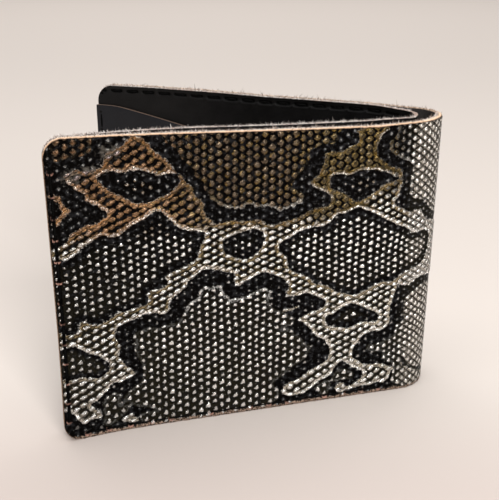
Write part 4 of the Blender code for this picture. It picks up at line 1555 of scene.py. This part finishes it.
top_line = HEIGHT - TOP_STITCH_INSET
for side_name, side in (("front", -1), ("back", 1)):
    sew("stitches_outside_" + side_name, side, SEAM_STARTS, SEAM_ENDS, False, "thread_edge_" + side_name)
    top_starts = np.stack([TOP_STITCHES, np.full(len(TOP_STITCHES), top_line)], -1)
    top_ends = top_starts + [STITCH_LENGTH, 0]
    sew("stitches_top_" + side_name, side, top_starts, top_ends, True, "thread_top_" + side_name)
    sew("stitches_inside_" + side_name, side, HOLE_ROWS[0][:-1], HOLE_ROWS[0][1:], True, None)

# %% [markdown]
# ## Fibres
#
# The leather was cut and never burnished, so short fibres stand up from every cut edge. Hair curves
# would be dropped by the export, so each fibre is a thin closed spike with a bend in it.


# %% Fibres as spikes
PALE_FIBRE = ((0.20, 0.15, 0.13), (0.80, 0.74, 0.70))
TAN_FIBRE = ((0.05, 0.035, 0.03), (0.45, 0.34, 0.27))
THINNEST = 0.05
THICKEST = 0.13


def fibres(name, side, count, depths, lengths, seed, material, top=True, on_lining=False):
    """Spikes on a half's upper or lower cut edge. A spike has two triangles of points and a tip: root, middle
    and tip lie on root + t * lean + t^2 * droop, with its width going from w to 0."""
    random = np.random.default_rng(seed)
    u = random.uniform(0.5, OUTER_END - (BEND_END - 4) * on_lining, count)
    share = random.uniform(0, 1, count)
    lift = corner_lift(u)
    v = HEIGHT - lift if top else lift
    depth = depths[0] + (depths[1] - depths[0]) * share
    if on_lining:
        depth = depth + lining_at(side, u, v)
    root = on_half(side, u, v, depth)
    length = (lengths[0] + (lengths[1] - lengths[0]) * random.uniform(0, 1, count) ** 3)[:, None]
    lean = random.normal(0, 0.55, (count, 3))
    lean[:, 2] = np.where(top, 1, -0.15) * random.uniform(0.4, 1, count)
    lean = lean / np.linalg.norm(lean, axis=1)[:, None] * length
    droop = random.normal(0, 0.3, (count, 3)) * length
    width = random.uniform(THINNEST, THICKEST, count)[:, None]
    root = root - lean * 0.2
    angles = np.arange(3) * 2 * math.pi / 3
    ring = np.stack([np.cos(angles), np.sin(angles), 0 * angles], -1)[None]
    low = root[:, None] + ring * width[:, None]
    middle = (root + lean * 0.5 + droop * 0.25)[:, None] + ring * width[:, None] * 0.7
    tip = (root + lean + droop)[:, None]
    points = np.concatenate([low, middle, tip], 1)
    base = (np.arange(count) * 7)[:, None]
    bottom = base + [2, 1, 0]
    around = np.concatenate([base + [k, (k + 1) % 3, 3 + (k + 1) % 3, 3 + k] for k in range(3)])
    ends = np.concatenate([base + [3 + k, 3 + (k + 1) % 3, 6] for k in range(3)])
    tone = np.repeat(random.uniform(0, 1, count), 7)
    return make_piece(name, points.reshape(-1, 3), [bottom, around, ends], None, [material],
                      attributes={"tone": tone})


# %% Colours of the fibres, and where they stand
def fibre_colour(name, dark, pale):
    """Each fibre has one tone between two colours, as a random number on its points."""
    finish = Finish(name)
    tone = finish.attribute("tone")
    return finish.surface(Base_Color=finish.blend(tone.rise(0.1, 0.8), dark, pale), Roughness=0.9)


pale_fibre = fibre_colour("pale_fibres", *PALE_FIBRE)
tan_fibre = fibre_colour("tan_fibres", *TAN_FIBRE)
for side_name, side, pivot in (("front", -1, FRONT_PIVOT), ("back", 1, BACK_PIVOT)):
    cover_top = fibres("fibres_cover_top_" + side_name, side, 1900, (1.0, 2.0), (0.3, 1.1), 30 + side,
                       pale_fibre if side < 0 else tan_fibre)
    cover_bottom = fibres("fibres_cover_bottom_" + side_name, side, 900, (-0.05, 1.0), (0.3, 0.8), 34 + side,
                          tan_fibre, top=False)
    lining_top = fibres("fibres_lining_top_" + side_name, side, 2300, (0.0, 1.2), (0.3, 1.1), 38 + side,
                        pale_fibre, on_lining=True)
    hairs = fibres("fibres_long_" + side_name, side, 160, (0.0, 2.0), (0.6, 2.2), 42 + side, tan_fibre)
    for piece in (cover_top, cover_bottom, hairs):
        bend_with(piece, side, pivot)
    bend_with(lining_top, side, place(side * CREASE, LOOP_DEPTH, HEIGHT / 2) * MM)

# %% [markdown]
# ## Floor and light
#
# The wallet stands on a plain pale surface in soft light from above and in front. The floor matters for
# the foil too: a metal coat shows what it mirrors, and an upright face seen from above mirrors the
# floor in front of it. So there the floor is lighter, and then brown as wood.

# %% Floor
FLOOR_SIZE = 6.0
PAPER = (0.62, 0.567, 0.53)
LIT_FAR_PAPER = (0.88, 0.80, 0.745)
NEAR_PAPER = (0.52, 0.455, 0.425)
FRONT_PAPER = (0.95, 0.92, 0.89)
WOOD = (0.40, 0.25, 0.15)
bpy.ops.mesh.primitive_plane_add(size=FLOOR_SIZE, location=(0, 0, 0))
floor = bpy.context.object
floor.name = "floor"


def pale_floor():
    """Pale paper, painted lighter far behind, where the lamp gives little light. What the foil mirrors lies
    in front of what the camera sees: first white paper and then brown wood. The borders are places in
    metres on Y."""
    finish = Finish("pale_floor")
    where = finish.node("ShaderNodeTexCoord", {}, {}, output=3)
    y = finish.node("ShaderNodeSeparateXYZ", {}, {0: where}, output=1)
    # painted light: the floor far behind is lighter
    colour = finish.blend(y.rise(0.5, 1.9), PAPER, LIT_FAR_PAPER)
    colour = finish.blend(y.rise(-0.075, 0.0), NEAR_PAPER, colour)
    colour = finish.blend(y.rise(-0.10, -0.075), FRONT_PAPER, colour)
    colour = finish.blend(y.rise(-0.22, -0.17), WOOD, colour)
    return finish.surface(Base_Color=colour, Roughness=0.9)


floor.data.materials.append(pale_floor())


# %% Lights
ROOM_COLOUR = (1.0, 0.97, 0.93)
ROOM_STRENGTH = 0.12
LAMP_COLOUR = (1, 0.98, 0.96)


def soft_light(name, where, aim, size, power):
    """A square lamp at `where` that looks at `aim`."""
    lamp = bpy.data.lights.new(name, "AREA")
    lamp.size = size
    lamp.energy = power
    lamp.color = LAMP_COLOUR
    light = bpy.data.objects.new(name, lamp)
    toward = Matrix.Translation(aim).translation - Matrix.Translation(where).translation
    light.location = where
    light.rotation_euler = toward.to_track_quat("-Z", "Y").to_euler()
    bpy.context.scene.collection.objects.link(light)
    print(name, "is", round(toward.length, 2), "m away")


soft_light("lamp_above", (-0.1, 0.3, 2.0), (0, 0.3, 0), 2.4, 60.0)
soft_light("lamp_front", (0.3, -0.75, 0.5), (0, 0, 0.04), 0.3, 7.5)
world = bpy.data.worlds.new("room")
bpy.context.scene.world = world
world.use_nodes = True
background = world.node_tree.nodes["Background"]
background.inputs["Color"].default_value = (*ROOM_COLOUR, 1)
background.inputs["Strength"].default_value = ROOM_STRENGTH
bpy.context.scene.view_settings.view_transform = "Standard"
